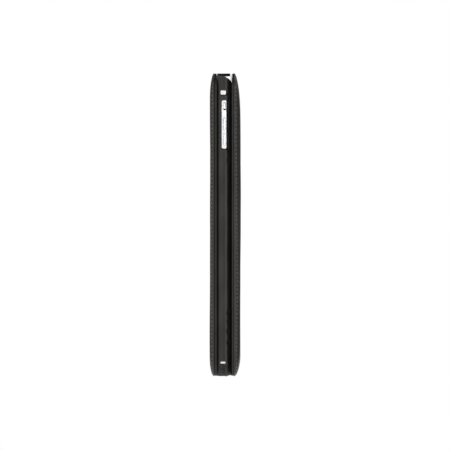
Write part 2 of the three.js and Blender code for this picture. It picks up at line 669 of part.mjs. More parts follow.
/** The main board, with the cans and modules that it carries and the screws that hold it. */
function mainBoard() {
  const shape = roundedRect(BOARD_LEFT, BOARD_FOOT, BOARD_RIGHT, BOARD_TOP, BOARD_CORNER);
  const outline = plateXZ(shape, BOARD_FRONT, BOARD_BACK, 4);
  const throughBoard = [BOARD_FRONT - CUT_PAST, BOARD_BACK + CUT_PAST];
  const hole = ([x, z]) => roundBarY(x, z, SCREW_SHAFT + GAP, ...throughBoard, 12);
  const holes = BOARD_HOLES.map(hole);
  const canBack = BOARD_FRONT - GAP;
  const canFront = INNER_FRONT + GAP;
  const mid = (BOARD_LEFT + BOARD_RIGHT) / 2;
  const can = (name, foot, { height, halfWidth }) => {
    const top = foot + height;
    const outlineShape = roundedRect(mid - halfWidth, foot, mid + halfWidth, top, CAN_CORNER);
    return part(name, plateXZ(outlineShape, canFront, canBack, 3), steel);
  };
  const boardMiddle = (BOARD_FOOT + BOARD_TOP) / 2;
  const processorFoot = boardMiddle + PROCESSOR_SHIELD.raised - PROCESSOR_SHIELD.height / 2;
  const wirelessFoot = BOARD_TOP - CAN_MARGIN - WIRELESS_MODULE.height;
  const pieces = [
    part("main_board", cut(outline, ...holes), boardGreen),
    can("processor_shield", processorFoot, PROCESSOR_SHIELD),
    can("power_shield", BOARD_FOOT + CAN_MARGIN, POWER_SHIELD),
    can("wireless_module", wirelessFoot, WIRELESS_MODULE),
  ];
  BOARD_HOLES.forEach(([x, z], i) => {
    const seat = BOARD_FRONT - GAP;
    const shaft = roundBarY(x, z, SCREW_SHAFT, seat - WELD, BOARD_BACK + SCREW_PAST_BOARD, 12);
    const head = roundBarY(x, z, SCREW_HEAD, seat - WELD - SCREW_HEAD_THICKNESS, seat, 16);
    pieces.push(part(`board_screw_${i + 1}`, join(head, shaft), steel));
  });
  return pieces;
}

const SPEAKER_BOX = { halfWidth: 18, height: 24, setIn: 1 };
const DOCK_BODY = 9;
const DOCK_POCKET = 7.5;
const DOCK_END_WALL = 1;
const MICROPHONE = { fromJack: 9, radius: 1.6, length: 3 };
const LIGHT_SENSOR = { half: 2, foot: 12, top: 9, thickness: 1.2 };

/** The headphone socket, speaker, dock socket, microphone and light sensor. */
function socketsAndSound() {
  const jackTop = CAVITY_TOP - cavityInset(JACK_Y + JACK_RADIUS) - GAP;
  const jackFoot = SLATE_TOP - BEZEL_ENDS + GAP; // just above the display
  const jack = cut(
    roundBar(JACK_X, JACK_Y, JACK_RADIUS, jackFoot, jackTop),
    roundBar(JACK_X, JACK_Y, JACK_BORE, jackFoot + JACK_FLOOR, jackTop + CUT_PAST),
  );
  const speakerBack = INNER_BACK - SPEAKER_BOX.setIn;
  const speakerFoot = CAVITY_FOOT + cavityInset(speakerBack) + GAP;
  const speakerLeft = SPEAKER_X - SPEAKER_BOX.halfWidth;
  const speakerRight = SPEAKER_X + SPEAKER_BOX.halfWidth;
  const speakerTop = speakerFoot + SPEAKER_BOX.height;
  const speaker = block(speakerLeft, INNER_FRONT, speakerFoot, speakerRight, speakerBack, speakerTop);
  const dockFront = DOCK_Y - DOCK_HEIGHT / 2 - SOCKET_WALL;
  const dockBack = DOCK_Y + DOCK_HEIGHT / 2 + SOCKET_WALL;
  const dockFoot = CAVITY_FOOT + cavityInset(dockBack) + GAP;
  const dockEnd = DOCK_HALF + DOCK_END_WALL;
  const pocketFront = dockFront + SOCKET_WALL;
  const pocketBack = dockBack - SOCKET_WALL;
  const pocketTop = dockFoot + DOCK_POCKET;
  const dock = cut(
    block(-dockEnd, dockFront, dockFoot, dockEnd, dockBack, dockFoot + DOCK_BODY),
    block(-DOCK_HALF, pocketFront, dockFoot - CUT_PAST, DOCK_HALF, pocketBack, pocketTop),
  );
  const sensor = block(
    -LIGHT_SENSOR.half,
    DISPLAY_FRONT,
    SLATE_TOP - LIGHT_SENSOR.foot,
    LIGHT_SENSOR.half,
    DISPLAY_FRONT + LIGHT_SENSOR.thickness,
    SLATE_TOP - LIGHT_SENSOR.top,
  );
  const microphone = roundBar(
    JACK_X + MICROPHONE.fromJack,
    JACK_Y,
    MICROPHONE.radius,
    jackTop - MICROPHONE.length,
    jackTop,
  );
  return [
    part("headphone_socket", jack, blackPlastic),
    part("speaker_box", speaker, blackPlastic),
    part("dock_socket", dock, steel),
    part("microphone", microphone, blackPlastic),
    part("light_sensor", sensor, blackPlastic),
  ];
}

// ---------------------------------------------------------------- keys

const DOME_HALF = { across: 1, up: 2 };
const SIDE_BOARD_HALF = 1.7;
const LOCK_SWITCH_HALF = { across: 1.3, up: 2 };
const POWER_SWITCH = { halfWidth: 3, halfDepth: 1.4, height: 2.5 };
const HOME_SWITCH = { half: 3, thickness: 1.2 };
const HOME_SET_IN = 0.1; // the button's face lies this far below the glass
const HOME_BEHIND_GLASS = 0.6;
const HOME_FLANGE_MARGIN = 1;

/** A side key: a pill that stands out of the wall, on a wider flange inside it. */
function sideKey(name, centreZ, width, length) {
  const stem = pillAlongX(centreZ, width, length, FLANGE_OUTER - WELD, SLATE_HALF + KEY_PROUD);
  const wide = width + 2 * FLANGE_MARGIN;
  const long = length + 2 * FLANGE_MARGIN;
  const flange = pillAlongX(centreZ, wide, long, FLANGE_OUTER - FLANGE_THICKNESS, FLANGE_OUTER);
  return part(name, join(stem, flange), polished);
}

/** The keys that move, and the switches that they work. */
function keysAndSwitches() {
  const keys = VOLUME_KEYS.map(([name, z]) => sideKey(name, z, KEY_WIDTH, VOLUME_KEY_LENGTH));
  const slider = sideKey("lock_slider", LOCK_Z, LOCK_WIDTH, LOCK_LENGTH);
  const sideBoard = block(
    SIDE_BOARD_INNER,
    SIDE_KEY_Y - SIDE_BOARD_HALF,
    VOLUME_KEYS[1][1] - VOLUME_KEY_LENGTH / 2,
    SIDE_BOARD_OUTER,
    SIDE_KEY_Y + SIDE_BOARD_HALF,
    LOCK_Z + LOCK_LENGTH / 2,
  );
  const domes = VOLUME_KEYS.map(([name, z]) => {
    const dome = block(
      SIDE_BOARD_OUTER + SOLDER,
      SIDE_KEY_Y - DOME_HALF.across,
      z - DOME_HALF.up,
      SWITCH_FACE,
      SIDE_KEY_Y + DOME_HALF.across,
      z + DOME_HALF.up,
    );
    return part(name.replace("_key", "_switch"), dome, steel);
  });
  const lockSwitch = block(
    SIDE_BOARD_OUTER + SOLDER,
    SIDE_KEY_Y - LOCK_SWITCH_HALF.across,
    LOCK_Z - LOCK_TRAVEL - LOCK_SWITCH_HALF.up,
    SWITCH_FACE,
    SIDE_KEY_Y + LOCK_SWITCH_HALF.across,
    LOCK_Z + LOCK_SWITCH_HALF.up,
  );

  const topFlange = CAVITY_TOP - FLANGE_INSET;
  const powerTop = SLATE_TOP + KEY_PROUD;
  const powerStem = pillAlongZ(POWER_KEY_X, POWER_KEY_LENGTH, KEY_WIDTH, topFlange - WELD, powerTop);
  const powerFlange = pillAlongZ(
    POWER_KEY_X,
    POWER_KEY_LENGTH + 2 * FLANGE_MARGIN,
    KEY_WIDTH + 2 * FLANGE_MARGIN,
    topFlange - FLANGE_THICKNESS,
    topFlange,
  );
  const powerSwitchTop = topFlange - FLANGE_THICKNESS - KEY_TRAVEL - GAP;
  const powerSwitch = block(
    POWER_KEY_X - POWER_SWITCH.halfWidth,
    SIDE_KEY_Y - POWER_SWITCH.halfDepth,
    powerSwitchTop - POWER_SWITCH.height,
    POWER_KEY_X + POWER_SWITCH.halfWidth,
    SIDE_KEY_Y + POWER_SWITCH.halfDepth,
    powerSwitchTop,
  );

  const homeFront = SLATE_FRONT + HOME_SET_IN;
  const homeBack = GLASS_INNER + HOME_BEHIND_GLASS;
  const homeCap = roundBarY(0, HOME_Z, HOME_BUTTON_RADIUS, homeFront, homeBack);
  const homeFlangeRadius = HOME_BUTTON_RADIUS + HOME_FLANGE_MARGIN;
  const homeFlange = roundBarY(0, HOME_Z, homeFlangeRadius, GLASS_INNER + GAP, homeBack);
  const homeSwitchFront = homeBack + KEY_TRAVEL + GAP;
  const homeSwitch = block(
    -HOME_SWITCH.half,
    homeSwitchFront,
    HOME_Z - HOME_SWITCH.half,
    HOME_SWITCH.half,
    homeSwitchFront + HOME_SWITCH.thickness,
    HOME_Z + HOME_SWITCH.half,
  );
  return [
    ...keys,
    slider,
    part("power_key", join(powerStem, powerFlange), polished),
    part("home_button", join(homeCap, homeFlange), blackPlastic),
    part("side_switch_board", sideBoard, boardGreen),
    ...domes,
    part("lock_switch", lockSwitch, blackPlastic),
    part("power_switch", powerSwitch, steel),
    part("home_switch", homeSwitch, steel),
  ];
}

// ---------------------------------------------------------------- lift ribbon and tab

const TAB_TOP = POUCH_TOP - TAB_DROP;
const TAB_ROOT_Y = SLATE_BACK - MOVING_GAP;
const TAB_END_Y = FRONT_LINING_INNER + MOVING_GAP;
const TAB_CORNER = 2.5;
const RIBBON_SHORT_OF_GLASS = 1; // the ribbon ends this far behind the face of the glass

/** The slate's lower edge seen from the side, moved out by `offset`: [y, z] pairs, back to front. */
function footProfile(offset, topZ, frontY) {
  const points = [[SLATE_BACK + offset, topZ]];
  for (let i = ARC_STEPS; i >= 0; i--) {
    const angle = (i / ARC_STEPS) * (Math.PI / 2);
    const reach = BACK_CURVE + offset;
    const z = SLATE_FOOT - offset + reach * (1 - Math.cos(angle));
    points.push([CURVE_START + (CURVE_DEPTH + offset) * Math.sin(angle), z]);
  }
  points.push([frontY, SLATE_FOOT - offset]);
  return points;
}

/** The ribbon: down behind the slate, round its lower edge and under it. */
function liftRibbon() {
  const top = TAB_TOP - TAB_THICKNESS / 2;
  const front = SLATE_FRONT + RIBBON_SHORT_OF_GLASS;
  const near = footProfile(RIBBON_GAP, top, front);
  const far = footProfile(RIBBON_GAP + RIBBON_THICKNESS, top, front).reverse();
  const half = RIBBON_WIDTH / 2;
  return part("lift_ribbon", prismYZ(polygon([...near, ...far]), -half, half), ribbon);
}

/** The leather tab at the ribbon's end, lying across the mouth above the slate. */
function liftTab() {
  const half = TAB_WIDTH / 2;
  const shape = roundedRect(-half, TAB_END_Y, half, TAB_ROOT_Y, TAB_CORNER);
  return part("lift_tab", prismXY(shape, TAB_TOP - TAB_THICKNESS, TAB_TOP), leather);
}

// ---------------------------------------------------------------- assembly

const pouch = new THREE.Group();
pouch.add(
  ...panel("front", FRONT_COVER_INNER, FRONT_COVER_DEPTH, FRONT_CROWN, -1),
  ...panel("back", BACK_COVER_INNER, BACK_COVER_DEPTH, BACK_CROWN, 1),
  lining("front", FRONT_COVER_INNER + GAP, FRONT_LINING_INNER),
  lining("back", BACK_LINING_INNER, BACK_COVER_INNER - GAP),
  ...rightGusset(),
  leftGusset(),
  baseGusset(),
);

const slate = new THREE.Group();
slate.add(
  rearShell(),
  ...screen(),
  ...batteryCells(),
  ...mainBoard(),
  ...socketsAndSound(),
  ...keysAndSwitches(),
  liftRibbon(),
  liftTab(),
);

const group = new THREE.Group();
group.add(pouch, slate);

export default group;
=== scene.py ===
# %% [markdown]
# # A slate computer in its leather pouch
# A padded black leather pouch stands upright with its mouth at the top. Two stitched panels are joined
# by a narrow strip of leather, the gusset, and a slim slate computer with silver sides sits between
# them. This lesson loads the measured frame, then makes each visible piece as a surface worked out
# with numpy, and each finish as a procedural material.

import math

import bpy
import numpy as np
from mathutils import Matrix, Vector


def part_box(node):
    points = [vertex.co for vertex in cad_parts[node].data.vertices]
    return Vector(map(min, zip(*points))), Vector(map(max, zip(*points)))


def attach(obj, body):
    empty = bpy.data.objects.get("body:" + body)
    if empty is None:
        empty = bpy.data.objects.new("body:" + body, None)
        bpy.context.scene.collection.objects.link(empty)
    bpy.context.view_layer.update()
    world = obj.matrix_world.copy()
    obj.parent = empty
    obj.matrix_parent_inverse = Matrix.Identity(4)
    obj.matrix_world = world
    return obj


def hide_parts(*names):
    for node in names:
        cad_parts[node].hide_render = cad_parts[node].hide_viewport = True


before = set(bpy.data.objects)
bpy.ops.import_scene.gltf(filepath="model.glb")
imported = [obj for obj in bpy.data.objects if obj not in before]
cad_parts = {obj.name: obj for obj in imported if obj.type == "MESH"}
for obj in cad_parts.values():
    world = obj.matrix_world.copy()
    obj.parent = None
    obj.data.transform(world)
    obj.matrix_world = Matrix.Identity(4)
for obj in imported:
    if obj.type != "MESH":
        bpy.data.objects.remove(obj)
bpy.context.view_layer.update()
MM = 0.001
print("nodes in the frame:", len(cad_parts))


# %% [markdown]
# ## Measuring
# The pieces are worked out in millimetres, because leather and keys are a few millimetres big. Every
# place comes from the corners of a node of the frame, so that a new piece sits where the frame says.

# %% Corners of a node, in millimetres
def corners(node):
    """A node's lowest and highest corner in millimetres."""
    low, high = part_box(node)
    return np.array(low) / MM, np.array(high) / MM


FRONT_LOW, FRONT_HIGH = corners("front_panel_cover")
BACK_LOW, BACK_HIGH = corners("back_panel_cover")
SHELL_LOW, SHELL_HIGH = corners("rear_shell")
POUCH_TOP = FRONT_HIGH[2]
print("pouch is", np.round(BACK_HIGH - FRONT_LOW, 1), "mm")


# %% [markdown]
# ## Camera
# The object is seen square on from its side. Its own width points straight at the camera, so in a
# perspective view the far parts would peep out past the near ones. An orthographic camera, which is a
# very long lens taken to its limit, draws all of them at one scale. It stands on the +X side.

# %% Camera
VIEW_HEIGHT = 370.7  # millimetres that the frame spans
VIEW_MIDDLE = 124.8
STAND_OFF = 1500.0

camera_data = bpy.data.cameras.new("side_camera")
camera_data.type = "ORTHO"
camera_data.ortho_scale = VIEW_HEIGHT * MM
camera = bpy.data.objects.new("side_camera", camera_data)
camera.location = ((FRONT_HIGH[0] + STAND_OFF) * MM, 0.0, VIEW_MIDDLE * MM)
camera.rotation_euler = (math.radians(90), 0.0, math.radians(90))
bpy.context.scene.collection.objects.link(camera)
bpy.context.scene.camera = camera
print("the view spans", VIEW_HEIGHT, "mm")


# %% [markdown]
# ## Surfaces from rings
# A panel, a glass, a key and a button are all the same idea: a rounded rectangle whose size changes as
# it moves along a depth. Blender could bevel a box for these, but rings keep every edge, groove and
# crown at its true size, and let a seam follow the outline exactly.

# %% Rounded rectangles
def spread(count, width, height, radius):
    """Where evenly spaced points lie round a rounded rectangle, from 0 to 8. Each straight side and each
    corner in turn adds 1, so the whole part names the side and the rest is the share along it."""
    straight_up = max(height - 2 * radius, 0.0)
    straight_across = max(width - 2 * radius, 0.0)
    bend = math.pi / 2 * radius
    lengths = np.array([straight_up, bend, straight_across, bend] * 2)
    ends = np.concatenate([[0.0], np.cumsum(lengths)])
    return np.interp(np.arange(count) / count * ends[-1], ends, np.arange(9))


def outline(u, half, low, high, radius, middle=0.0):
    """Rings of a rounded rectangle. A straight point slides from one corner's centre to the next, a corner
    point turns a quarter circle about its own centre, and both stand off that centre by the radius."""
    half, low, high, radius = (np.atleast_1d(np.asarray(v, float)) for v in (half, low, high, radius))
    side = np.floor(u).astype(int)
    along = u - side
    corner, turning = side // 2, side % 2
    across = np.stack([half - radius, radius - half, radius - half, half - radius], -1)
    up = np.stack([high - radius, high - radius, low + radius, low + radius], -1)
    share = np.where(turning, 1.0, along)
    before = (corner - 1) % 4
    a = across[:, before] * (1 - share) + across[:, corner] * share
    b = up[:, before] * (1 - share) + up[:, corner] * share
    angle = np.pi / 2 * (corner + turning * along)
    a = a + radius[:, None] * np.cos(angle) + middle
    b = b + radius[:, None] * np.sin(angle)
    return a, b


FACES = {"x": (1, 2, 0), "y": (0, 2, 1), "z": (0, 1, 2)}


def stack(a, b, depth, facing):
    """Puts rings given as two arrays and a depth for each ring into x, y, z. `facing` is the axis that
    the depth runs along."""
    depth = np.broadcast_to(np.asarray(depth, float).reshape(len(a), -1), a.shape)
    grid = np.empty(a.shape + (3,))
    for axis, values in zip(FACES[facing], (a, b, depth)):
        grid[..., axis] = values
    return grid


print("a circle of 8 points:", np.round(outline(spread(8, 2, 2, 1), 1, -1, 1, 1)[0][0], 2))


# %% [markdown]
# ## From rings to a solid
# Neighbouring rings are joined by quads, and the first and last ring are closed to their middle. The
# signed volume of the result tells whether its faces point out, and if they don't, all are turned.

# %% Solids
def outward(points, faces):
    """Turns every face over if the signed volume, a sixth of the sum of each triangle's triple product,
    is negative."""
    a, b, c = (points[faces[:, i]] for i in (0, 1, 2))
    volume = np.einsum("ij,ij->i", a, np.cross(b, c)).sum()
    d = points[faces[:, 3]]
    volume += np.einsum("ij,ij->i", a, np.cross(c, d)).sum()
    return faces[:, [1, 0, 3, 2]] if volume < 0 else faces


def mesh_of(name, points, faces):
    """A smooth mesh from points in millimetres and quads, where a quad that names its last corner twice
    is a triangle."""
    faces = outward(points, faces)
    three = faces[:, 2] == faces[:, 3]
    mesh = bpy.data.meshes.new(name)
    mesh.from_pydata((points * MM).tolist(), [], faces[~three].tolist() + faces[three][:, :3].tolist())
    mesh.polygons.foreach_set("use_smooth", np.ones(len(mesh.polygons), bool))
    return mesh


def piece(name, points, faces, material, body, stands_for=(), slot=None, sharp=None):
    """Makes a mesh object that rides on a body. It may stand for nodes of the frame, and its edges that
    turn by more than `sharp` degrees may be marked as sharp. Its `slot` is not used."""
    mesh = mesh_of(name, points, faces)
    if sharp:
        mesh.set_sharp_from_angle(angle=math.radians(sharp))
    mesh.materials.append(material)
    made = bpy.data.objects.new(name, mesh)
    bpy.context.scene.collection.objects.link(made)
    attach(made, body)
    if stands_for:
        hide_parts(*stands_for)
    print(f"{name}: {len(points)} points, {len(mesh.polygons)} faces")
    return made


def ring_faces(rings, count, wrap_rings=False):
    """Quads between neighbouring rings, each ring closed on itself."""
    index = np.arange(rings * count).reshape(rings, count)
    near = index if wrap_rings else index[:-1]
    far = np.roll(index, -1, 0) if wrap_rings else index[1:]
    around = lambda rows: np.roll(rows, -1, 1)
    return np.stack([near, around(near), around(far), far], -1).reshape(-1, 4)


def solid(grid):
    """Points and faces of a closed surface through rings, with the first and last closed to a pole."""
    rings, count, _ = grid.shape
    points = np.concatenate([grid.reshape(-1, 3), grid[0].mean(0)[None], grid[-1].mean(0)[None]])
    first = np.arange(count)
    last = first + (rings - 1) * count
    pole, far_pole = rings * count, rings * count + 1
    caps = [
        np.stack([np.full(count, pole), np.roll(first, -1), first, first], -1),
        np.stack([last, np.roll(last, -1), np.full(count, far_pole), np.full(count, far_pole)], -1),
    ]
    return points, np.concatenate([ring_faces(rings, count), *caps])


def hoop(grid):
    """Points and faces of a closed band: rings that also close on each other."""
    return grid.reshape(-1, 3), ring_faces(grid.shape[0], grid.shape[1], True)


def normals(grid, inside):
    """Unit normals of a grid of rings: the cross product of its two directions, pointing away from
    `inside`."""
    along = np.roll(grid, -1, 1) - np.roll(grid, 1, 1)
    across = np.gradient(grid, axis=0)
    normal = np.cross(along, across)
    normal /= np.linalg.norm(normal, axis=-1, keepdims=True) + 1e-12
    facing = np.einsum("ijk,ijk->ij", normal, grid - inside).sum()
    return normal if facing > 0 else -normal


def bell(distance, width):
    """A smooth bump: 1 at no distance, falling as the exponential of minus the square."""
    return np.exp(-((distance / width) ** 2))


def carry(obj, name, values):
    """Stores one number for each point on a piece, for its material to read."""
    attribute = obj.data.attributes.new(name, "FLOAT", "POINT")
    attribute.data.foreach_set("value", np.asarray(values, np.float32).ravel())


print("helpers for solids are ready")


# %% [markdown]
# ## Materials
# Colours are written as sRGB hex values and turned to linear light once. One helper adds a node with
# its settings, values and links, and each finish below is built from it.

# %% Colours and nodes
def colour(text):
    """An sRGB hex colour as linear red, green, blue and alpha: the low part is divided by 12.92, and the
    rest is raised to the power 2.4."""
    value = np.array([int(text[i : i + 2], 16) for i in (1, 3, 5)]) / 255
    linear = np.where(value <= 0.04045, value / 12.92, ((value + 0.055) / 1.055) ** 2.4)
    return (*linear.tolist(), 1.0)


def node(tree, kind, values=None, links=None, **settings):
    """Adds a node: its settings, then the values and the links of its inputs."""
    made = tree.nodes.new(kind)
    for key, value in settings.items():
        setattr(made, key, value)
    for key, value in (values or {}).items():
        made.inputs[key].default_value = value
    for key, source in (links or {}).items():
        tree.links.new(source, made.inputs[key])
    return made


def finish_of(name, **constants):
    """A new material, its tree, its shader and its object coordinates. Constants go on the shader."""
    material = bpy.data.materials.new(name)
    material.use_nodes = True
    tree = material.node_tree
    shader = tree.nodes["Principled BSDF"]
    for key, value in constants.items():
        shader.inputs[key.replace("_", " ")].default_value = value
    place = node(tree, "ShaderNodeTexCoord").outputs["Object"]
    return material, tree, shader, place


def ramp(tree, source, stops):
    """Maps a value between two stops, each a position and either a grey level or a colour."""
    made = node(tree, "ShaderNodeValToRGB", links={"Fac": source})
    made.color_ramp.interpolation = "EASE"
    for element, (position, value) in zip(made.color_ramp.elements, stops):
        element.position = position
        element.color = value if isinstance(value, tuple) else (value, value, value, 1.0)
    return made.outputs["Color"]


PER_METRE = 1 / MM  # a texture scale of this many cells for each metre is one cell for each millimetre


def noise(tree, place, size, detail):
    """A noise whose coarsest grain is `size` millimetres, with finer layers over it."""
    values = {"Scale": PER_METRE / size, "Detail": detail}
    return node(tree, "ShaderNodeTexNoise", values, {"Vector": place}).outputs["Fac"]


def calculate(tree, operation, *values):
    """Adds a maths node. Each of its values is a number or another node's output."""
    made = node(tree, "ShaderNodeMath", operation=operation)
    for entry, value in zip(made.inputs, values):
        if isinstance(value, bpy.types.NodeSocket):
            tree.links.new(value, entry)
        else:
            entry.default_value = value
    return made.outputs[0]


def dress(tree, shader, tint=None, gloss=None, height=None):
    """Leads one value through two stops to the colour, one through two stops to the roughness, and a
    height through a bump, which has a strength and a depth in millimetres."""
    for name, given in (("Base Color", tint), ("Roughness", gloss)):
        if given:
            tree.links.new(ramp(tree, *given), shader.inputs[name])
    if height:
        value, strength, depth = height
        bump = node(tree, "ShaderNodeBump", {"Strength": strength, "Distance": depth * MM}, {"Height": value})
        tree.links.new(bump.outputs[0], shader.inputs["Normal"])


print("black leather's linear red:", round(colour("#191817")[0], 4))


# %% [markdown]
# ## Leather
# The pouch is black leather with a semi-gloss finish, taken to be cowhide. Its grain is a net of
# rounded pebbles with finer pores on them. An image could carry that, but a Voronoi net and a noise
# keep it sharp at any distance and need no UV map. The finish is thinner where the leather is abraded,
# so abraded edges are a little lighter and smoother. On the gusset the same lightening is painted light:
# its raised fold and its mouth's cut edge carry a painted highlight, and its dents and valleys painted shade.

# %% Leather
def leather(name, base, abraded_and_lit_colour, rough, grain, relief):
    """Full-grain leather: pebbles from a Voronoi net, pores from a noise, a broad unevenness from a slow
    noise, and a lightening from the piece's own `wear_and_light` attribute, which holds abrasion and, on
    the gusset, painted highlight and painted shade. `grain` and `relief` are in millimetres."""
    material, tree, shader, place = finish_of(name, IOR=1.38)
    values = {"Scale": PER_METRE / grain, "Smoothness": 0.6}
    pebble = node(tree, "ShaderNodeTexVoronoi", values, {"Vector": place}, feature="SMOOTH_F1")
    pores, broad = noise(tree, place, 0.45, 3.0), noise(tree, place, 24, 4.0)
    wear_and_light = node(tree, "ShaderNodeAttribute", attribute_name="wear_and_light").outputs["Fac"]
    # The colour runs towards the lighter tint with a slow noise and the wear_and_light attribute. Where that
    # attribute is painted light, this paints highlight and shade into the colour and makes the leather
    # glossier there.
    tone_wear_and_light = calculate(tree, "MULTIPLY_ADD", broad, 0.50, wear_and_light)
    height = calculate(tree, "MULTIPLY_ADD", pores, 0.35, pebble.outputs["Distance"])
    tint = [(0.10, colour(base)), (1.0, colour(abraded_and_lit_colour))]
    gloss = [(0.05, rough + 0.06), (0.95, rough - 0.10)]
    dress(tree, shader, (tone_wear_and_light, tint), (tone_wear_and_light, gloss), (height, 0.55, relief))
    return material


# Pebbles on cowhide are taken to be 0.6 mm across. The panels' are drawn at 1.1 mm, so that they show.
PANEL_LEATHER = leather("black_cowhide", "#121110", "#34312e", 0.46, 1.1, 0.32)
GUSSET_LEATHER = leather("black_calf_gusset", "#121111", "#353331", 0.42, 0.8, 0.07)
BOUND_LEATHER = leather("black_turned_edge", "#151413", "#2a2826", 0.55, 0.8, 0.06)
print("leathers:", PANEL_LEATHER.name, GUSSET_LEATHER.name, BOUND_LEATHER.name)


# %% [markdown]
# ## Cloth finishes
# The lining is a non-woven microfibre suede, brushed to a short nap that scatters light at grazing
# angles, which is what sheen stands for. The thread is bonded polyester, three strands twisted. The
# ribbon is grosgrain, whose ribs run across it, so they follow the distance along the ribbon.

# %% Suede, thread and ribbon
def textile(name, base, light, grain, relief, rough, stripe=None, **constants):
    """A matt textile: a noise of the thread's size for its colour and height, and for a ribbed one a
    sine of the `along` attribute, a whole turn for each `stripe` millimetres."""
    material, tree, shader, place = finish_of(name, Roughness=rough, **constants)
    height = noise(tree, place, grain, 5.0)
    if stripe:
        along = node(tree, "ShaderNodeAttribute", attribute_name="along").outputs["Fac"]
        rib = calculate(tree, "SINE", calculate(tree, "MULTIPLY", along, 2 * math.pi / stripe))
        height = calculate(tree, "MULTIPLY_ADD", rib, 0.45, height)
    tint = [(0.25, colour(base)), (0.8, colour(light))]
    dress(tree, shader, (height, tint), height=(height, 0.6, relief))
    return material


SUEDE = textile(
    "microfibre_suede", "#1d1c1c", "#353331", 0.5, 0.12, 0.92, Sheen_Weight=0.35, Sheen_Roughness=0.4
)
THREAD = textile("bonded_polyester_thread", "#4a4642", "#6f6a64", 0.3, 0.08, 0.5, stripe=0.7)
RIBBON = textile("black_grosgrain", "#141415", "#2c2c2e", 0.35, 0.10, 0.7, stripe=1.1)
print("textiles:", SUEDE.name, THREAD.name, RIBBON.name)


# %% [markdown]
# ## Metals
# The shell is aluminium, blasted with fine glass beads and then anodised clear: matt, pale and even,
# with a sparkle too fine to see as grain. The keys are the same metal, polished. Metals keep Blender's
# own IOR, and their colour is what they reflect.

# %% Metals
def metal(name, base, tarnish, rough, grain, relief, stretch=(1, 1, 1)):
    """A metal with a fine surface: a noise, stretched along the way it was worked, moves its roughness
    and its height, and a slow noise shifts its colour a little."""
    material, tree, shader, place = finish_of(name, Metallic=1.0)
    worked = node(tree, "ShaderNodeMapping", {"Scale": stretch}, {"Vector": place}).outputs[0]
    grit, broad = noise(tree, worked, grain, 4.0), noise(tree, place, 30, 2.0)
    tint = [(0.3, colour(tarnish)), (0.7, colour(base))]
    gloss = [(0.3, rough - 0.04), (0.7, rough + 0.06)]
    dress(tree, shader, (broad, tint), (grit, gloss), (grit, 0.25, relief))
    return material


# Blasting grit is near 0.1 mm; it is drawn at 0.25 mm so that the matt surface shows.
ALUMINIUM = metal("blasted_anodised_aluminium", "#e9eaec", "#dfe0e3", 0.34, 0.25, 0.006)
POLISHED = metal("polished_aluminium", "#eeeff1", "#e9eaed", 0.24, 0.25, 0.001)
STEEL = metal("plated_spring_steel", "#b9babd", "#a3a5a8", 0.28, 0.4, 0.01, (1, 1, 12))
FOIL = metal("laminated_cell_foil", "#8d9094", "#7b7e82", 0.42, 1.6, 0.10)
print("metals:", ALUMINIUM.name, POLISHED.name, STEEL.name, FOIL.name)


# %% [markdown]
# ## Glass, plastics and boards
# The cover glass is painted black behind its border, and the dark display shows through the rest, a
# shade lighter. The plastics are ABS, moulded with a fine spark texture. The inner boards are seldom
# seen, and still each gets the surface of the real one.

# %% Plain finishes
def moulded(name, base, light, rough, grain, relief, pattern="ShaderNodeTexNoise"):
    """A surface whose texture moves its colour, roughness and height together."""
    material, tree, shader, place = finish_of(name)
    value = node(tree, pattern, {"Scale": PER_METRE / grain}, {"Vector": place}).outputs[0]
    tint = [(0.3, colour(base)), (0.75, colour(light))]
    gloss = [(0.2, rough - 0.05), (0.8, rough + 0.07)]
    dress(tree, shader, (value, tint), (value, gloss), (value, 0.3, relief))
    return material


ABS = moulded("moulded_black_abs", "#0d0d0e", "#161617", 0.40, 0.35, 0.02)
BOARD = moulded("green_solder_mask", "#0f2f1c", "#1f5233", 0.35, 2.4, 0.05, "ShaderNodeTexVoronoi")
CARD = moulded("pressed_fibre_board", "#4c4034", "#6b5c4b", 0.85, 0.8, 0.08)
FOAM = moulded("closed_cell_foam", "#2b2b2c", "#3d3d3f", 0.9, 1.2, 0.2, "ShaderNodeTexVoronoi")
DISPLAY = moulded("display_polariser", "#050608", "#090b0e", 0.14, 6.0, 0.002)


def cover_glass_finish():
    """Chemically strengthened glass with a painted border: a point is on the display if it lies inside
    its rectangle across and up, which is where the larger of two distances past its edges is negative."""
    material, tree, shader, place = finish_of("painted_cover_glass", IOR=1.5)
    low, high = corners("display_module")
    parts = node(tree, "ShaderNodeSeparateXYZ", links={0: place})
    sides = []
    for axis, output in ((0, "X"), (2, "Z")):
        middle, half = (low[axis] + high[axis]) / 2 * MM, (high[axis] - low[axis]) / 2 * MM
        centred = calculate(tree, "SUBTRACT", parts.outputs[output], middle)
        sides.append(calculate(tree, "SUBTRACT", calculate(tree, "ABSOLUTE", centred), half))
    border = calculate(tree, "GREATER_THAN", calculate(tree, "MAXIMUM", *sides), 0.0)
    tint = [(0.0, colour("#0b0c0f")), (1.0, colour("#030303"))]
    dress(tree, shader, (border, tint), (noise(tree, place, 18, 6.0), [(0.4, 0.04), (0.8, 0.16)]))
    return material


COVER_GLASS = cover_glass_finish()
print("plain finishes:", ABS.name, BOARD.name, CARD.name, FOAM.name, DISPLAY.name, COVER_GLASS.name)


# %% [markdown]
# ## The padded panels
# Each panel is leather drawn over foam and a stiff board, turned in at the edge and stitched to the
# gusset close to it. A cloth simulation would need a voxel finer than a panel is thick, so the shape is
# worked out instead. Across the panel, the face rises from its edge in a quarter ellipse, short at the
# sides and long at the mouth and foot. Points are then spaced by true distance from the edge, so that
# the seam is a groove of one width all the way round, pulled in at each stitch.

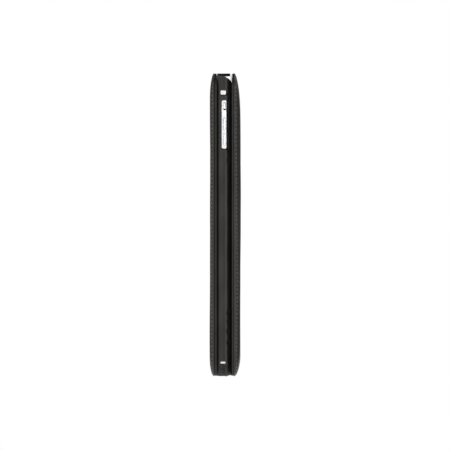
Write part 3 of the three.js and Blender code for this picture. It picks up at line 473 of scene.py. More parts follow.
# %% The panel's surface
PANEL_CORNER = 11.0
EDGE_ROLL = 1.1
STITCH_PITCH = 3.46
SEAM_WIDTH = 0.42
SEAM_DEPTH = 0.40
SETTLED = 0.36  # the panels bow towards the back by this much
SETTLED_AT, SETTLED_SPAN = 160.0, 75.0  # the height where they bow most, and how far it fades
OUTLINE_LENGTH = 2 * (FRONT_HIGH[0] - FRONT_LOW[0] + POUCH_TOP) - (8 - 2 * math.pi) * PANEL_CORNER
STITCHES = round(OUTLINE_LENGTH / STITCH_PITCH)
PER_STITCH = 4
AROUND = spread(STITCHES * PER_STITCH, 2 * FRONT_HIGH[0], POUCH_TOP, PANEL_CORNER)


def resample(travelled, values, targets):
    """Moves along each column to set distances. `travelled` grows down each column, and each target is
    found between the last row short of it and the next."""
    picked = []
    column = np.arange(travelled.shape[1])
    for target in targets:
        row = np.clip((travelled < target).sum(0) - 1, 0, len(travelled) - 2)
        start, end = travelled[row, column], travelled[row + 1, column]
        share = np.clip((target - start) / (end - start + 1e-12), 0, 1)[:, None]
        picked.append(values[row, column] * (1 - share) + values[row + 1, column] * share)
    return np.array(picked)


def crown(inner, depth, reach, out):
    """The outer face from its edge to its flat field. At an angle from 0 to a quarter turn the depth is
    the sine's share, and each edge has moved in by its reach times one less the cosine."""
    angle = np.linspace(math.asin(EDGE_ROLL / depth), math.pi / 2, 240)
    rise = 1 - np.cos(angle)
    a, b = outline(
        AROUND,
        FRONT_HIGH[0] - reach["side"] * rise,
        reach["foot"] * rise,
        POUCH_TOP - reach["top"] * rise,
        PANEL_CORNER - reach["side"] * rise,
    )
    return stack(a, b, inner + out * depth * np.sin(angle), "y")


def shrink(grid_row, shares):
    """Copies of one ring drawn in to its middle by shares of its size."""
    middle = grid_row.mean(0)
    return middle + (grid_row - middle) * np.asarray(shares)[:, None, None]


def panel(side, reach, out, seam_in):
    """A padded panel: pocket, inner face, rolled edge, crown with its seam, and padded field."""
    cover, board = f"{side}_panel_cover", f"{side}_panel_board"
    low, high = corners(cover)
    inner = high[1] if out < 0 else low[1]
    depth = high[1] - low[1]
    face = crown(inner, depth, reach, out)
    step = np.linalg.norm(np.diff(face, axis=0), axis=-1)
    travelled = np.concatenate([np.zeros((1, face.shape[1])), np.cumsum(step, 0)])
    beside = np.array([0.22, 0.42, 0.62, 0.85, 1.1, 1.4])
    near = np.concatenate([[0.0], seam_in - beside[::-1], [seam_in], seam_in + beside])
    far = [near[-1] + (travelled[-1] - near[-1]) * s for s in np.linspace(0.06, 1, 14) ** 1.25]
    targets = [np.full(face.shape[1], t) for t in near] + far
    shell = resample(travelled, face, targets)
    field = shrink(shell[-1], [0.985, 0.96, 0.92, 0.86, 0.78, 0.68, 0.56, 0.42, 0.28, 0.14, 0.04])
    shell = np.concatenate([shell, field])
    distance = np.array([*targets, *[targets[-1] + 3 + i for i in range(len(field))]])
    from_seam = distance - seam_in
    beat = 2 * np.pi * np.arange(face.shape[1]) / PER_STITCH
    pulled = 0.5 + 0.5 * np.cos(beat)
    height = -SEAM_DEPTH * bell(from_seam, SEAM_WIDTH) * (0.8 + 0.2 * pulled)
    height -= 0.24 * bell(from_seam, 0.28) * pulled
    height += 0.09 * bell(np.abs(from_seam) - 1.1, 0.5) * (1 - pulled)
    x, z = shell[..., 0], shell[..., 2]
    loose = np.clip((distance - 5) / 10, 0, 1)
    waves = 0.16 * np.sin(x / 23 + 1.3) * np.sin(z / 31 + 0.4) + 0.09 * np.sin(z / 13.7 + x / 41 + out)
    height += loose * waves
    middle = np.array([0.0, inner, POUCH_TOP / 2])
    normal = normals(shell, middle)
    height += out * SETTLED * bell(z - SETTLED_AT, SETTLED_SPAN) * np.abs(normal[..., 1])
    outer = shell + normal * height[..., None]

    roll = np.linspace(0, math.pi / 2, 5)[:-1]
    inset = np.concatenate([[2.4, 1.4], EDGE_ROLL * (1 - np.sin(roll))])
    a, b = outline(AROUND, FRONT_HIGH[0] - inset, inset, POUCH_TOP - inset, PANEL_CORNER - inset)
    edge = stack(a, b, inner + out * np.concatenate([[0, 0], EDGE_ROLL * (1 - np.cos(roll))]), "y")

    board_low, board_high = corners(board)
    padding_low, padding_high = corners(f"{side}_panel_padding")
    gap = 0.2
    floor = (padding_low[1] if out < 0 else padding_high[1]) + out * gap
    pocket_a, pocket_b = outline(
        AROUND, [board_high[0] + gap], [board_low[2] - gap], [board_high[2] + gap], [6.0]
    )
    wall = stack(pocket_a, pocket_b, [floor], "y")
    lip = stack(pocket_a, pocket_b, [inner], "y")
    pocket = np.concatenate([shrink(wall[0], [0.02, 0.5, 0.9]), wall, lip])
    grid = np.concatenate([pocket, edge, outer])
    made = piece(
        f"{side}_padded_panel", *solid(grid), PANEL_LEATHER, "pouch", [cover], "pouch_leather", sharp=60
    )
    # The rolled edge and two bands just beside the seam are made lighter in tone.
    wear_and_light_share = np.zeros(grid.shape[:2])
    wear_and_light_share[len(pocket) + 2 : len(pocket) + len(edge) + 8] = 0.35
    wear_and_light_share[len(pocket) + len(edge) :] += 0.30 * bell(np.abs(from_seam) - 1.0, 0.5)
    carry(made, "wear_and_light", np.append(wear_and_light_share.ravel(), [0, 0]))
    row = 1 + len(beside)
    return outer[row], normal[row]


FRONT_SEAM = panel("front", {"top": 20.0, "foot": 13.5, "side": 2.2}, -1, 1.9)
BACK_SEAM = panel("back", {"top": 38.0, "foot": 18.0, "side": 2.8}, 1, 2.05)
print(STITCHES, "stitches round each panel")


# %% [markdown]
# ## Stitches
# One stitch is a short length of thread that bows over the leather and dives into a hole at each end.
# Every stitch is the same small shape of a few dozen faces, set out along the seam with arrays of
# directions, a few degrees off the line of the seam, as a lockstitch lies.

# %% Stitches
STITCH_LENGTH = 2.75
THREAD_RADIUS = 0.32


def one_stitch(length):
    """A spindle along its first axis. Its radius is the thread's times the root of one less the fourth
    power of the share along, and its middle bows up and its ends dive."""
    share = np.array([-0.98, -0.85, -0.5, 0.0, 0.5, 0.85, 0.98])
    radius = THREAD_RADIUS * np.sqrt(1 - share**4)
    angle = np.arange(6) / 6 * 2 * np.pi
    lift = 0.20 - 0.42 * share**4
    grid = np.empty((len(share), len(angle), 3))
    grid[..., 0] = (share * length / 2)[:, None]
    grid[..., 1] = radius[:, None] * np.cos(angle) + (0.10 * share)[:, None]
    grid[..., 2] = radius[:, None] * np.sin(angle) + lift[:, None]
    return solid(grid)


def stitch_row(name, path, normal, per_stitch, body, length=STITCH_LENGTH):
    """Repeats a stitch along a closed path: each takes its direction from its two holes and its upward
    way from the surface."""
    middle = path[per_stitch // 2 :: per_stitch]
    start = path[::per_stitch]
    ahead = np.roll(start, -1, 0) - start
    ahead /= np.linalg.norm(ahead, axis=1, keepdims=True)
    up = normal[per_stitch // 2 :: per_stitch]
    up = up - ahead * np.einsum("ij,ij->i", up, ahead)[:, None]
    up /= np.linalg.norm(up, axis=1, keepdims=True)
    frames = np.stack([ahead, np.cross(up, ahead), up], 1)
    points, faces = one_stitch(length)
    placed = middle[:, None] + np.einsum("pa,nab->npb", points, frames)
    shifted = faces[None] + (np.arange(len(middle)) * len(points))[:, None, None]
    made = piece(name, placed.reshape(-1, 3), shifted.reshape(-1, 4), THREAD, body)
    carry(made, "along", np.tile(points[:, 0], len(middle)))


for side, (path, normal) in (("front", FRONT_SEAM), ("back", BACK_SEAM)):
    stitch_row(f"{side}_edge_stitching", path, normal, PER_STITCH, "pouch")


# %% [markdown]
# ## Turned edges and linings
# Inside each panel lies a suede lining, and its edge is bound with a narrow strip of leather, folded
# over, which shows from the side as a fine bright rim. The strip is a rounded bar carried round the
# outline, with a faint pinch at every stitch that holds it. The lining is a thin sheet inside it.

# %% Linings
RIM_WIDTH = 3.2
LINING_CORNER = 10.5
PRESSED_IN = 0.28  # the fold is squeezed this far into the leather on each side of it
BACK_RIM_STARTS = 0.45  # the back rim's fold is narrower by this much


def bound_edge(side):
    """A bar with round ends, wider than it is thick, carried round the outline. Its thickness swells and
    pinches by a few hundredths of a millimetre with a cosine of the distance round. Beside the gusset it
    is squeezed against its neighbours, and over the slate's path it keeps clear."""
    low, high = corners(f"{side}_lining")
    if side == "back":
        low[1] += BACK_RIM_STARTS
    u = spread(STITCHES * PER_STITCH, 2 * high[0], high[2] - low[2], LINING_CORNER)
    half = (high[1] - low[1]) / 2
    turn = np.linspace(-math.pi / 2, math.pi / 2, 9)
    inset = np.concatenate([half * (1 - np.cos(turn)), RIM_WIDTH - half * (1 - np.cos(turn))])
    offset = np.concatenate([half * np.sin(turn), -half * np.sin(turn)])
    a, b = outline(u, high[0] - inset, low[2] + inset, high[2] - inset, LINING_CORNER - inset)
    pinch = 1 - 0.05 * (0.5 + 0.5 * np.cos(2 * np.pi * np.arange(len(u)) / PER_STITCH))
    to_cover = (offset[:, None] > 0) == (side == "back")
    beside = np.where(to_cover, 1.0, np.clip(np.abs(a) - SHELL_HIGH[0], 0, 1))
    depth = (low[1] + high[1]) / 2 + offset[:, None] * pinch
    depth = depth + PRESSED_IN * beside * offset[:, None] / half
    made = piece(
        f"{side}_turned_edge",
        *hoop(stack(a, b, depth, "y")),
        BOUND_LEATHER,
        "pouch",
        [f"{side}_lining"],
        "lining",
    )
    # The outer half of the bar is made lighter along its crest, most at the middle of the round; the inner
    # half keeps its base tone.
    wear_and_light_share = np.broadcast_to(0.30 * np.cos(np.concatenate([turn, turn]))[:, None] ** 2, a.shape).copy()
    wear_and_light_share[len(turn) :] = 0
    carry(made, "wear_and_light", wear_and_light_share)


def suede_sheet(side):
    """A thin sheet with rounded corners, flat between its two faces."""
    low, high = corners(f"{side}_lining")
    inset = np.array([80.0, 50, 20, 8, 4.2, 3.6, 3.4, 3.6, 4.2, 8, 20, 50, 80])
    face = np.array([0.5] * 5 + [0.42, 0, -0.42] + [-0.5] * 5)
    u = spread(240, 2 * high[0], high[2] - low[2], LINING_CORNER)
    radius = np.maximum(LINING_CORNER - inset, 1.5)
    a, b = outline(u, high[0] - inset, low[2] + inset, high[2] - inset, radius)
    made = piece(
        f"{side}_suede_lining",
        *solid(stack(a, b, (low[1] + high[1]) / 2 + face, "y")),
        SUEDE,
        "pouch",
        slot="lining",
    )


for side in ("front", "back"):
    bound_edge(side)
    suede_sheet(side)


# %% [markdown]
# ## The gusset
# One strip of thinner leather runs down one side, under the slate and up the other side. It is flat in
# front, and at the back it turns in over the slate's curved edge, so its fold catches the light; its
# colour is also painted lighter along that fold, as painted highlight, and darker in its dents. Near
# the foot it bends sharply and pleats. It could be cut and folded by simulation, but its section is
# plain from the frame, so the section is carried along a path and the pleats are added to its height.

# %% The gusset's section and path
STRIP_FRONT, STRIP_BACK = corners("base_gusset")[0][1] - 0.3, corners("base_gusset")[1][1] + 0.8
STRIP_OUT = -corners("left_gusset")[0][0]
STRIP_FOOT = corners("base_gusset")[0][2]
MOUTH = corners("left_gusset")[1][2]
STRIP_CORNER = 10.0
STRIP_THICKNESS = 1.2
FOLD_REACH, FOLD_DEPTH = 10.3, 7.0
INNER_REACH, INNER_DEPTH = 9.1, 5.8
SCOOP = 7.8
LIP_ABOVE = 0.9  # the cut edge stands this far above the frame's
BASE_DROP = 0.8  # the strip is doubled under the slate, and hangs lower by this much
DOWN = MOUTH - STRIP_FOOT - STRIP_CORNER
BEND = math.pi / 2 * STRIP_CORNER
BASE = 2 * (STRIP_OUT - STRIP_CORNER)
STRIP_LENGTH = 2 * (DOWN + BEND) + BASE
print("the strip is", round(STRIP_LENGTH), "mm long")


def folded_in(y, reach, depth):
    """How far in the strip has turned: nothing in front, then a quarter ellipse towards the back."""
    share = np.clip(y / depth, 0, 1)
    return reach * (1 - np.sqrt(1 - share**2))


def ease(share):
    """A smooth step from 0 to 1: three times the square less twice the cube."""
    share = np.clip(share, 0, 1)
    return share**2 * (3 - 2 * share)


def along_strip(s):
    """The path's point and inward direction, at a distance from the right-hand mouth: straight down, a
    quarter circle, straight across and the same again in reverse."""
    mirrored = s > STRIP_LENGTH / 2
    t = np.where(mirrored, STRIP_LENGTH - s, s)
    angle = np.clip((t - DOWN) / STRIP_CORNER, 0, math.pi / 2)
    x = STRIP_OUT - STRIP_CORNER * (1 - np.cos(angle)) - np.maximum(t - DOWN - BEND, 0)
    z = STRIP_FOOT + STRIP_CORNER * (1 - np.sin(angle)) + np.maximum(DOWN - t, 0)
    sign = np.where(mirrored, -1.0, 1.0)
    return x * sign, z, -np.cos(angle) * sign, np.sin(angle)


def stations():
    """Distances along the strip: close together at its ends, over the windows and round the corner, and
    further apart where it is plain."""
    end = np.array([0, 0.03, 0.10, 0.22, 0.38, 0.6, 0.95, 1.4])
    side = np.arange(2.0, DOWN - 12, 0.66)
    bend = np.arange(DOWN - 12, DOWN + BEND + 2, 0.33)
    base = np.linspace(DOWN + BEND + 2.5, DOWN + BEND + BASE - 2.5, 70)
    far = STRIP_LENGTH - np.concatenate([end, np.arange(2.0, DOWN + BEND + 2, 1.4)])
    return np.concatenate([end, side, bend, base, np.sort(far)])


# %% Windows in the gusset
KEY_LINE = -0.3
WINDOW_CORNER = 0.9
SLATE_TOP, SLATE_FOOT = SHELL_HIGH[2], SHELL_LOW[2]
KEYS_DOWN, UPPER_DOWN, LOWER_UP = 38.9, 12.6, 7.7  # from the slate's end to each window's middle
WINDOWS = {  # lowest y, lowest z, highest y, highest z
    "key": (KEY_LINE - 2.45, SLATE_TOP - KEYS_DOWN - 19.95, KEY_LINE + 2.45, SLATE_TOP - KEYS_DOWN + 19.95),
    "upper": (KEY_LINE - 3.4, SLATE_TOP - UPPER_DOWN - 1.75, KEY_LINE + 1.8, SLATE_TOP - UPPER_DOWN + 1.75),
    "lower": (KEY_LINE - 3.5, SLATE_FOOT + LOWER_UP - 1.0, KEY_LINE + 1.1, SLATE_FOOT + LOWER_UP + 1.0),
}


def from_window(y, z, window):
    """The distance from a rounded window's edge: outside it, the length of what is past its corners'
    centres, less their radius."""
    y0, z0, y1, z1 = window
    radius = min(WINDOW_CORNER, (y1 - y0) / 2, (z1 - z0) / 2)
    dy = np.abs(y - (y0 + y1) / 2) - (y1 - y0) / 2 + radius
    dz = np.abs(z - (z0 + z1) / 2) - (z1 - z0) / 2 + radius
    return np.hypot(np.maximum(dy, 0), np.maximum(dz, 0)) + np.minimum(np.maximum(dy, dz), 0) - radius


print("windows:", ", ".join(WINDOWS))


# %% [markdown]
# ## Folds and pleats
# Where the gusset turns over the slate's back edge it has a few short dents, and round the bottom corner
# the leather has nowhere to go, so it gathers in fine pleats. Each window's edge is pressed by its die,
# so the leather rolls in at the cut and stands up a little beside it.

# %% Relief of the gusset
DENTS = [  # distance up, y, reach up, reach across, depth
    (188, 2.6, 2.2, 1.0, 0.82),
    (179, 2.4, 1.8, 0.9, 0.69),
    (201, 3.0, 2.6, 0.9, 0.49),
    (214, 2.9, 3.0, 0.9, 0.56),
    (226, 2.8, 2.4, 0.9, 0.66),
    (233, 2.6, 1.8, 1.1, 0.74),
    (146, 3.2, 4.0, 0.9, 0.36),
    (104, 3.1, 5.0, 0.8, 0.33),
    (76, 3.0, 3.4, 0.9, 0.40),
    (53, 2.3, 1.8, 1.0, 0.76),
    (45.7, 2.6, 1.6, 0.9, 0.79),
    (37.5, 2.2, 1.9, 1.0, 0.76),
    (28.4, 2.5, 1.7, 1.0, 0.82),
    (20.5, 2.9, 1.5, 0.9, 0.59),
]


def front_dip(s, y):
    """How much of the front valley's depth there is: it slopes down evenly to the seam, and fades out
    under the slate."""
    from_end = np.minimum(s, STRIP_LENGTH - s)
    return np.clip((-5.0 - y) / 1.9, 0, 1) * (1 - 0.92 * ease((from_end - DOWN - 6) / (BEND - 8)))


def strip_relief(s, y, z, right):
    """How far the strip's outer face stands out from its plain section, in millimetres."""
    height = 0.34 * bell(y - 1.1, 1.0) + 0.10 * bell(y + 3.2, 1.5)
    height -= 1.35 * front_dip(s, y) + 0.5 * bell(y - 3.9, 1.4)
    height += 0.05 * np.sin(s / 9.1) * np.sin(s / 23.7 + y / 3)
    for up, across, reach_up, reach_across, depth in DENTS:
        height -= depth * bell(z - up, reach_up) * bell(y - across - 0.1 * (z - up), reach_across)
    corner = bell(s - DOWN - BEND * 0.42, 6.2)
    pleats = np.sin(2 * np.pi * (s + 0.35 * np.sin(y * 1.1)) / 1.45) + 0.5 * np.sin(2 * np.pi * s / 2.3 + y)
    height += 0.34 * corner * pleats * np.clip((y + 6.4) / 2, 0, 1)
    height -= 0.30 * bell(z - 5.4 + 0.9 * (y + 0.8), 0.7) * corner * bell(y + 0.3, 2.6)
    for window in WINDOWS.values():
        away = np.maximum(from_window(y, z, window), 0)
        height += right * (0.16 * bell(away - 1.15, 0.5) - 0.42 * bell(away, 0.5))
    return height


def strip_grid():
    """The strip's closed section at each station: its outer face from front to back, then its inner face
    back again. At the mouth the thickness closes to nothing in a half round."""
    s = stations()
    share = np.linspace(0, 1, 44)
    y_row = STRIP_FRONT + (STRIP_BACK - STRIP_FRONT) * (share - 0.045 * np.sin(4 * np.pi * share))
    s, y = np.meshgrid(s, y_row, indexing="ij")
    from_end = np.minimum(s, STRIP_LENGTH - s)
    across = (y - STRIP_FRONT) / (STRIP_BACK - STRIP_FRONT)
    drop = SCOOP * (1 - np.sqrt(np.clip(1 - across**2, 0, 1)))
    x, z, in_x, in_z = along_strip(s)
    z = z + (LIP_ABOVE - drop) * np.clip(1 - from_end / 22, 0, 1) ** 2
    right = np.where(x > STRIP_OUT - 1, 1.0, 0.0)
    relief = strip_relief(s, y, z, right)
    fold = 1 - 0.93 * ease((from_end - DOWN - 6) / (BEND - 3))
    outer = folded_in(y, FOLD_REACH, FOLD_DEPTH) * fold - relief
    outer -= BASE_DROP * ease((from_end - DOWN - 5) / (BEND - 5))
    inner = STRIP_THICKNESS + folded_in(y, INNER_REACH, INNER_DEPTH) * fold + 0.6 * front_dip(s, y)
    outer = np.minimum(outer, inner - 0.45)
    full = np.sqrt(np.clip(1 - (1 - np.minimum(from_end / 0.6, 1)) ** 2, 4e-4, 1))
    middle = (outer + inner) / 2
    outer, inner = middle + (outer - middle) * full, middle + (inner - middle) * full
    place = lambda u: np.stack([x + in_x * u, y, z + in_z * u], -1)
    return np.concatenate([place(outer), place(inner)[:, ::-1]], 1), relief


def cut_with(obj, points, faces, sharp):
    """Cuts a closed shape out of a piece, keeps the result as the piece's own mesh, and marks the edges
    that turn by more than an angle as sharp."""
    mesh = mesh_of("cutter", points, faces)
    cutter = bpy.data.objects.new("cutter", mesh)
    bpy.context.scene.collection.objects.link(cutter)
    modifier = obj.modifiers.new("cut", "BOOLEAN")
    modifier.operation, modifier.solver, modifier.object = "DIFFERENCE", "EXACT", cutter
    bpy.context.view_layer.update()
    done = bpy.data.meshes.new_from_object(obj.evaluated_get(bpy.context.evaluated_depsgraph_get()))
    obj.modifiers.clear()
    old, obj.data = obj.data, done
    done.name = obj.name
    bpy.data.objects.remove(cutter)
    bpy.data.meshes.remove(mesh)
    bpy.data.meshes.remove(old)
    done.polygons.foreach_set("use_smooth", np.ones(len(done.polygons), bool))
    done.set_sharp_from_angle(angle=math.radians(sharp))
    print(f"{obj.name}: cut, {len(done.polygons)} faces now")


def joined(shapes):
    """Several closed shapes as one set of points and faces."""
    points, faces, start = [], [], 0
    for p, f in shapes:
        f = outward(p, f)
        points.append(p)
        faces.append(f + start)
        start += len(p)
    return np.concatenate(points), np.concatenate(faces)


def prism(half, low, high, radius, start, end, facing, middle=0.0, count=32):
    """A straight bar with a rounded section between two depths."""
    u = spread(count, 2 * half, high - low, radius)
    a, b = outline(u, [half, half], [low, low], [high, high], [radius, radius], middle)
    return solid(stack(a, b, [start, end], facing))


# %% The gusset
GUSSET_NODES = ["right_gusset", "right_gusset_top", "key_window_front", "key_window_back"]
GUSSET_NODES += ["left_gusset", "base_gusset"]


def gusset():
    """The whole strip, with its windows cut through its right-hand side."""
    grid, relief = strip_grid()
    rings, count, _ = grid.shape
    half = count // 2
    here = np.arange(half - 1)
    cap = np.stack([here, here + 1, count - 2 - here, count - 1 - here], -1)
    faces = np.concatenate([ring_faces(rings, count), cap[:, ::-1], cap + (rings - 1) * count])
    points = grid.reshape(-1, 3)
    made = piece(
        "gusset_strip",
        points,
        faces,
        GUSSET_LEATHER,
        "pouch",
        GUSSET_NODES,
        "pouch_leather",
    )
    # Painted highlight and painted shade: the outer face is lighter where it stands out and darker in its
    # dents and front and back valleys, following the relief. The first rings at the right-hand mouth are
    # lighter still, which is a painted highlight on the cut edge.
    wear_and_light_share = np.zeros((rings, count))
    wear_and_light_share[:, :half] = np.clip(1.9 * relief + 0.10, 0, 0.8)
    wear_and_light_share[:6] = 1.0
    carry(made, "wear_and_light", wear_and_light_share)
    cutters = []
    for y0, z0, y1, z1 in WINDOWS.values():
        radius = min(WINDOW_CORNER, (y1 - y0) / 2 - 0.01, (z1 - z0) / 2 - 0.01)
        cutters.append(
            prism((y1 - y0) / 2, z0, z1, radius, SHELL_HIGH[0], FRONT_HIGH[0] + 1, "x", (y0 + y1) / 2, 64)
        )
    cut_with(made, *joined(cutters), 35)
    wear_and_light = made.data.attributes["wear_and_light"].data
    kept = np.empty(len(wear_and_light), np.float32)
    wear_and_light.foreach_get("value", kept)
    print("wear runs from", round(float(kept.min()), 2), "to", round(float(kept.max()), 2))


gusset()


# %% [markdown]
# ## The slate's shell
# The shell is milled and pressed aluminium: a tub with a flat side and a back that curves away in a
# quarter ellipse. It is one closed surface, down the inside and up the outside, with finer steps than
# the frame's, and its slots for the keys and sockets are cut through it.

# %% Shell
SHELL_WALL = 1.2
SLATE_CORNER = 8.0
BACK_CURVE = 8.0
KEY_PLAY = 0.3
FLANGE = 0.7
SLATE_HALF = SHELL_HIGH[0]


def shell_skin(inset, front, steps):
    """One skin of the shell from its rim to its back: a flat side, then at an angle the depth is the
    sine's share of the curve, and the edge has moved in by one less the cosine. The back is then drawn
    in to its middle."""
    angle = np.linspace(0, math.pi / 2, steps)
    curve = (BACK_CURVE - inset) * (1 - np.cos(angle))
    curve = np.concatenate([[0.0], curve])
    depth = np.concatenate([[front], (SHELL_HIGH[1] - inset) * np.sin(angle)])
    move = inset + curve
    u = spread(400, 2 * SLATE_HALF, SLATE_TOP - SLATE_FOOT, SLATE_CORNER)
    radius = np.maximum(SLATE_CORNER - move, 1)
    a, b = outline(u, SLATE_HALF - move, SLATE_FOOT + move, SLATE_TOP - move, radius)
    grid = stack(a, b, depth, "y")
    return np.concatenate([grid, shrink(grid[-1], [0.96, 0.8, 0.5, 0.2, 0.03])])


def rear_shell():
    """The tub, with its key slots, headphone bore, dock slot and speaker slots cut out."""
    rim = SHELL_LOW[1]
    inner = shell_skin(SHELL_WALL, rim, 18)[::-1]
    outer = shell_skin(0.0, rim + 0.15, 26)
    edge = shell_skin(0.15, rim, 3)[:1]
    made = piece(
        "slate_shell",
        *solid(np.concatenate([inner, edge, outer])),
        ALUMINIUM,
        "slate",
        ["rear_shell"],
        "shell_aluminium",
    )
    cutters = []
    for name, travel in (("volume_up_key", 0.0), ("volume_down_key", 0.0), ("lock_slider", 1.6)):
        low, high = corners(name)
        half = (high[1] - low[1]) / 2 - FLANGE + KEY_PLAY
        low_z, high_z = low[2] + FLANGE - KEY_PLAY - travel, high[2] - FLANGE + KEY_PLAY
        cutters.append(
            prism(half, low_z, high_z, half, SLATE_HALF - 3, SLATE_HALF + 1, "x", (low[1] + high[1]) / 2)
        )
    top = (SLATE_TOP - 3, SLATE_TOP + 1)
    low, high = corners("power_key")
    half_x = (high[0] - low[0]) / 2 - FLANGE + KEY_PLAY
    low_y, high_y = low[1] + FLANGE - KEY_PLAY, high[1] - FLANGE + KEY_PLAY
    radius = (high_y - low_y) / 2
    middle = (low[0] + high[0]) / 2
    cutters.append(prism(half_x, low_y, high_y, radius, *top, "z", middle))
    low, high = corners("headphone_socket")
    jack_x, jack_y, bore = (low[0] + high[0]) / 2, (low[1] + high[1]) / 2, 1.8
    cutters.append(prism(bore, jack_y - bore, jack_y + bore, bore, *top, "z", jack_x))
    low, high = corners("dock_socket")
    dock_y, slot = (low[1] + high[1]) / 2, 1.2
    foot = (SLATE_FOOT - 1, SLATE_FOOT + 3)
    cutters.append(prism(12.5, dock_y - slot, dock_y + slot, slot, *foot, "z"))
    speaker = sum(corners("speaker_box"))[0] / 2
    for step in (-8, 0, 8):
        cutters.append(prism(3.0, dock_y - 0.8, dock_y + 0.8, 0.8, *foot, "z", speaker + step))
    cut_with(made, *joined(cutters), 32)


rear_shell()


# %% [markdown]
# ## Glass, button and keys
# The glass lies in a thin gasket, with its edge ground round and one bore for the button. The keys are
# machined pills that stand a little out of the shell on a wider flange inside it. Each volume key has a
# fine groove along its middle, and the lock slider has a rounded face.

# %% Glass and home button
GROUND_EDGE = 0.3
GLASS_CORNER = SLATE_CORNER - 2.4


def cover_glass():
    """A plate whose front edge is a quarter circle."""
    low, high = corners("cover_glass")
    turn = np.linspace(0, math.pi / 2, 6)
    inset = np.concatenate([[60, 10, 1, 0.06, 0], GROUND_EDGE * (1 - np.cos(turn))[1:], [2, 12, 60]])
    ground = low[1] + GROUND_EDGE * (1 - np.sin(turn))[1:]
    depth = np.concatenate([[high[1]] * 3, [high[1] - 0.02, high[1] - 0.08], ground, [low[1]] * 3])
    radius = np.maximum(GLASS_CORNER - inset, 1.5)
    u = spread(280, 2 * high[0], high[2] - low[2], GLASS_CORNER)
    a, b = outline(u, high[0] - inset, low[2] + inset, high[2] - inset, radius)
    plate = solid(stack(a, b, depth, "y"))
    made = piece("ground_cover_glass", *plate, COVER_GLASS, "slate", ["cover_glass"], "cover_glass")
    low, high = corners("home_button")
    middle_z, bore = (low[2] + high[2]) / 2, (high[0] - low[0]) / 2 - 1 + KEY_PLAY
    cut_with(
        made,
        *prism(bore, middle_z - bore, middle_z + bore, bore, FRONT_HIGH[1], high[1] + 1, "y", 0.0, 72),
        35,
    )


def turned(name, node_name, rings, facing, count, material, body, slot_name, middle=0.0, stretch=0.0):
    """A piece turned or milled about an axis: each ring is a radius and a height, and `stretch` draws the
    circle out into a pill of that much more length, upwards on a side key and across on the top one."""
    low, high = corners(node_name)
    radius, depth = np.array(rings, float).T
    a_axis, b_axis, _ = FACES[facing]
    a_middle, b_middle = (low[a_axis] + high[a_axis]) / 2, (low[b_axis] + high[b_axis]) / 2
    long_a = stretch if facing == "z" else 0.0
    long_b = 0.0 if facing == "z" else stretch
    widest = radius.max()
    u = spread(count, 2 * (widest + long_a), 2 * (widest + long_b), widest)
    low_b, high_b = b_middle - radius - long_b, b_middle + radius + long_b
    a, b = outline(u, radius + long_a, low_b, high_b, radius, a_middle)
    piece(name, *solid(stack(a, b, depth, facing)), material, body, [node_name], slot_name, sharp=40)


def home_button():
    """A round button with a shallow dish, on a flange behind the glass. The dish is a parabola."""
    low, high = corners("home_button")
    wide = (high[0] - low[0]) / 2
    cap = wide - 1
    shares = (0.03, 0.2, 0.4, 0.6, 0.75, 0.88)
    dish = [(cap * s, low[1] + 0.12 + 0.38 * (1 - (s / 0.9) ** 2)) for s in shares]
    rim = [(cap * 0.94, low[1] + 0.03), (cap - 0.12, low[1])]
    rim += [(cap - 0.03, low[1] + 0.05), (cap, low[1] + 0.15)]
    back = [(cap, high[1] - 0.5), (wide, high[1] - 0.5), (wide, high[1]), (0.3, high[1])]
    turned("dished_home_button", "home_button", dish + rim + back, "y", 72, ABS, "home", "black_plastic")


cover_glass()
home_button()


# %% Keys
def pill_key(name, node_name, facing, body, groove):
    """A pill on a flange. From the flange's foot the rings step in to the stem, round its edge over a
    quarter circle, cross the face, and end in the groove if it has one."""
    low, high = corners(node_name)
    a_axis, b_axis, up = FACES[facing]
    half = min(high[a_axis] - low[a_axis], high[b_axis] - low[b_axis]) / 2
    long = max(high[a_axis] - low[a_axis], high[b_axis] - low[b_axis]) / 2 - half
    stem, face, foot = half - FLANGE, high[up], low[up]
    turn = np.linspace(0, math.pi / 2, 5)
    rings = [(0.1, foot), (half, foot), (half, foot + 0.8), (stem, foot + 0.8)]
    rings += [(stem - 0.32 * (1 - math.cos(t)), face - 0.32 * (1 - math.sin(t))) for t in turn]
    if groove:
        rings += [(0.19, face), (0.15, face - 0.05), (0.12, face - 0.24), (0.01, face - 0.26)]
    else:
        rings += [(stem * s, face + 0.10 * (1 - s**2)) for s in (0.55, 0.3, 0.08)]
    turned(name, node_name, rings, facing, 56, POLISHED, body, "key_metal", stretch=long)


pill_key("volume_up_rocker", "volume_up_key", "x", "volume_up", True)
pill_key("volume_down_rocker", "volume_down_key", "x", "volume_down", True)
pill_key("lock_slider_cap", "lock_slider", "x", "lock", False)
pill_key("power_button", "power_key", "z", "power", False)


# %% [markdown]
# ## Ribbon and tab
# A flat ribbon runs down behind the slate and under it, and lifts it out when its tab is pulled. The
# ribbon is modelled directly, as a thin section along its path. The tab is two layers of leather glued
# back to back, stitched round, with painted edges, and it lies across the mouth.

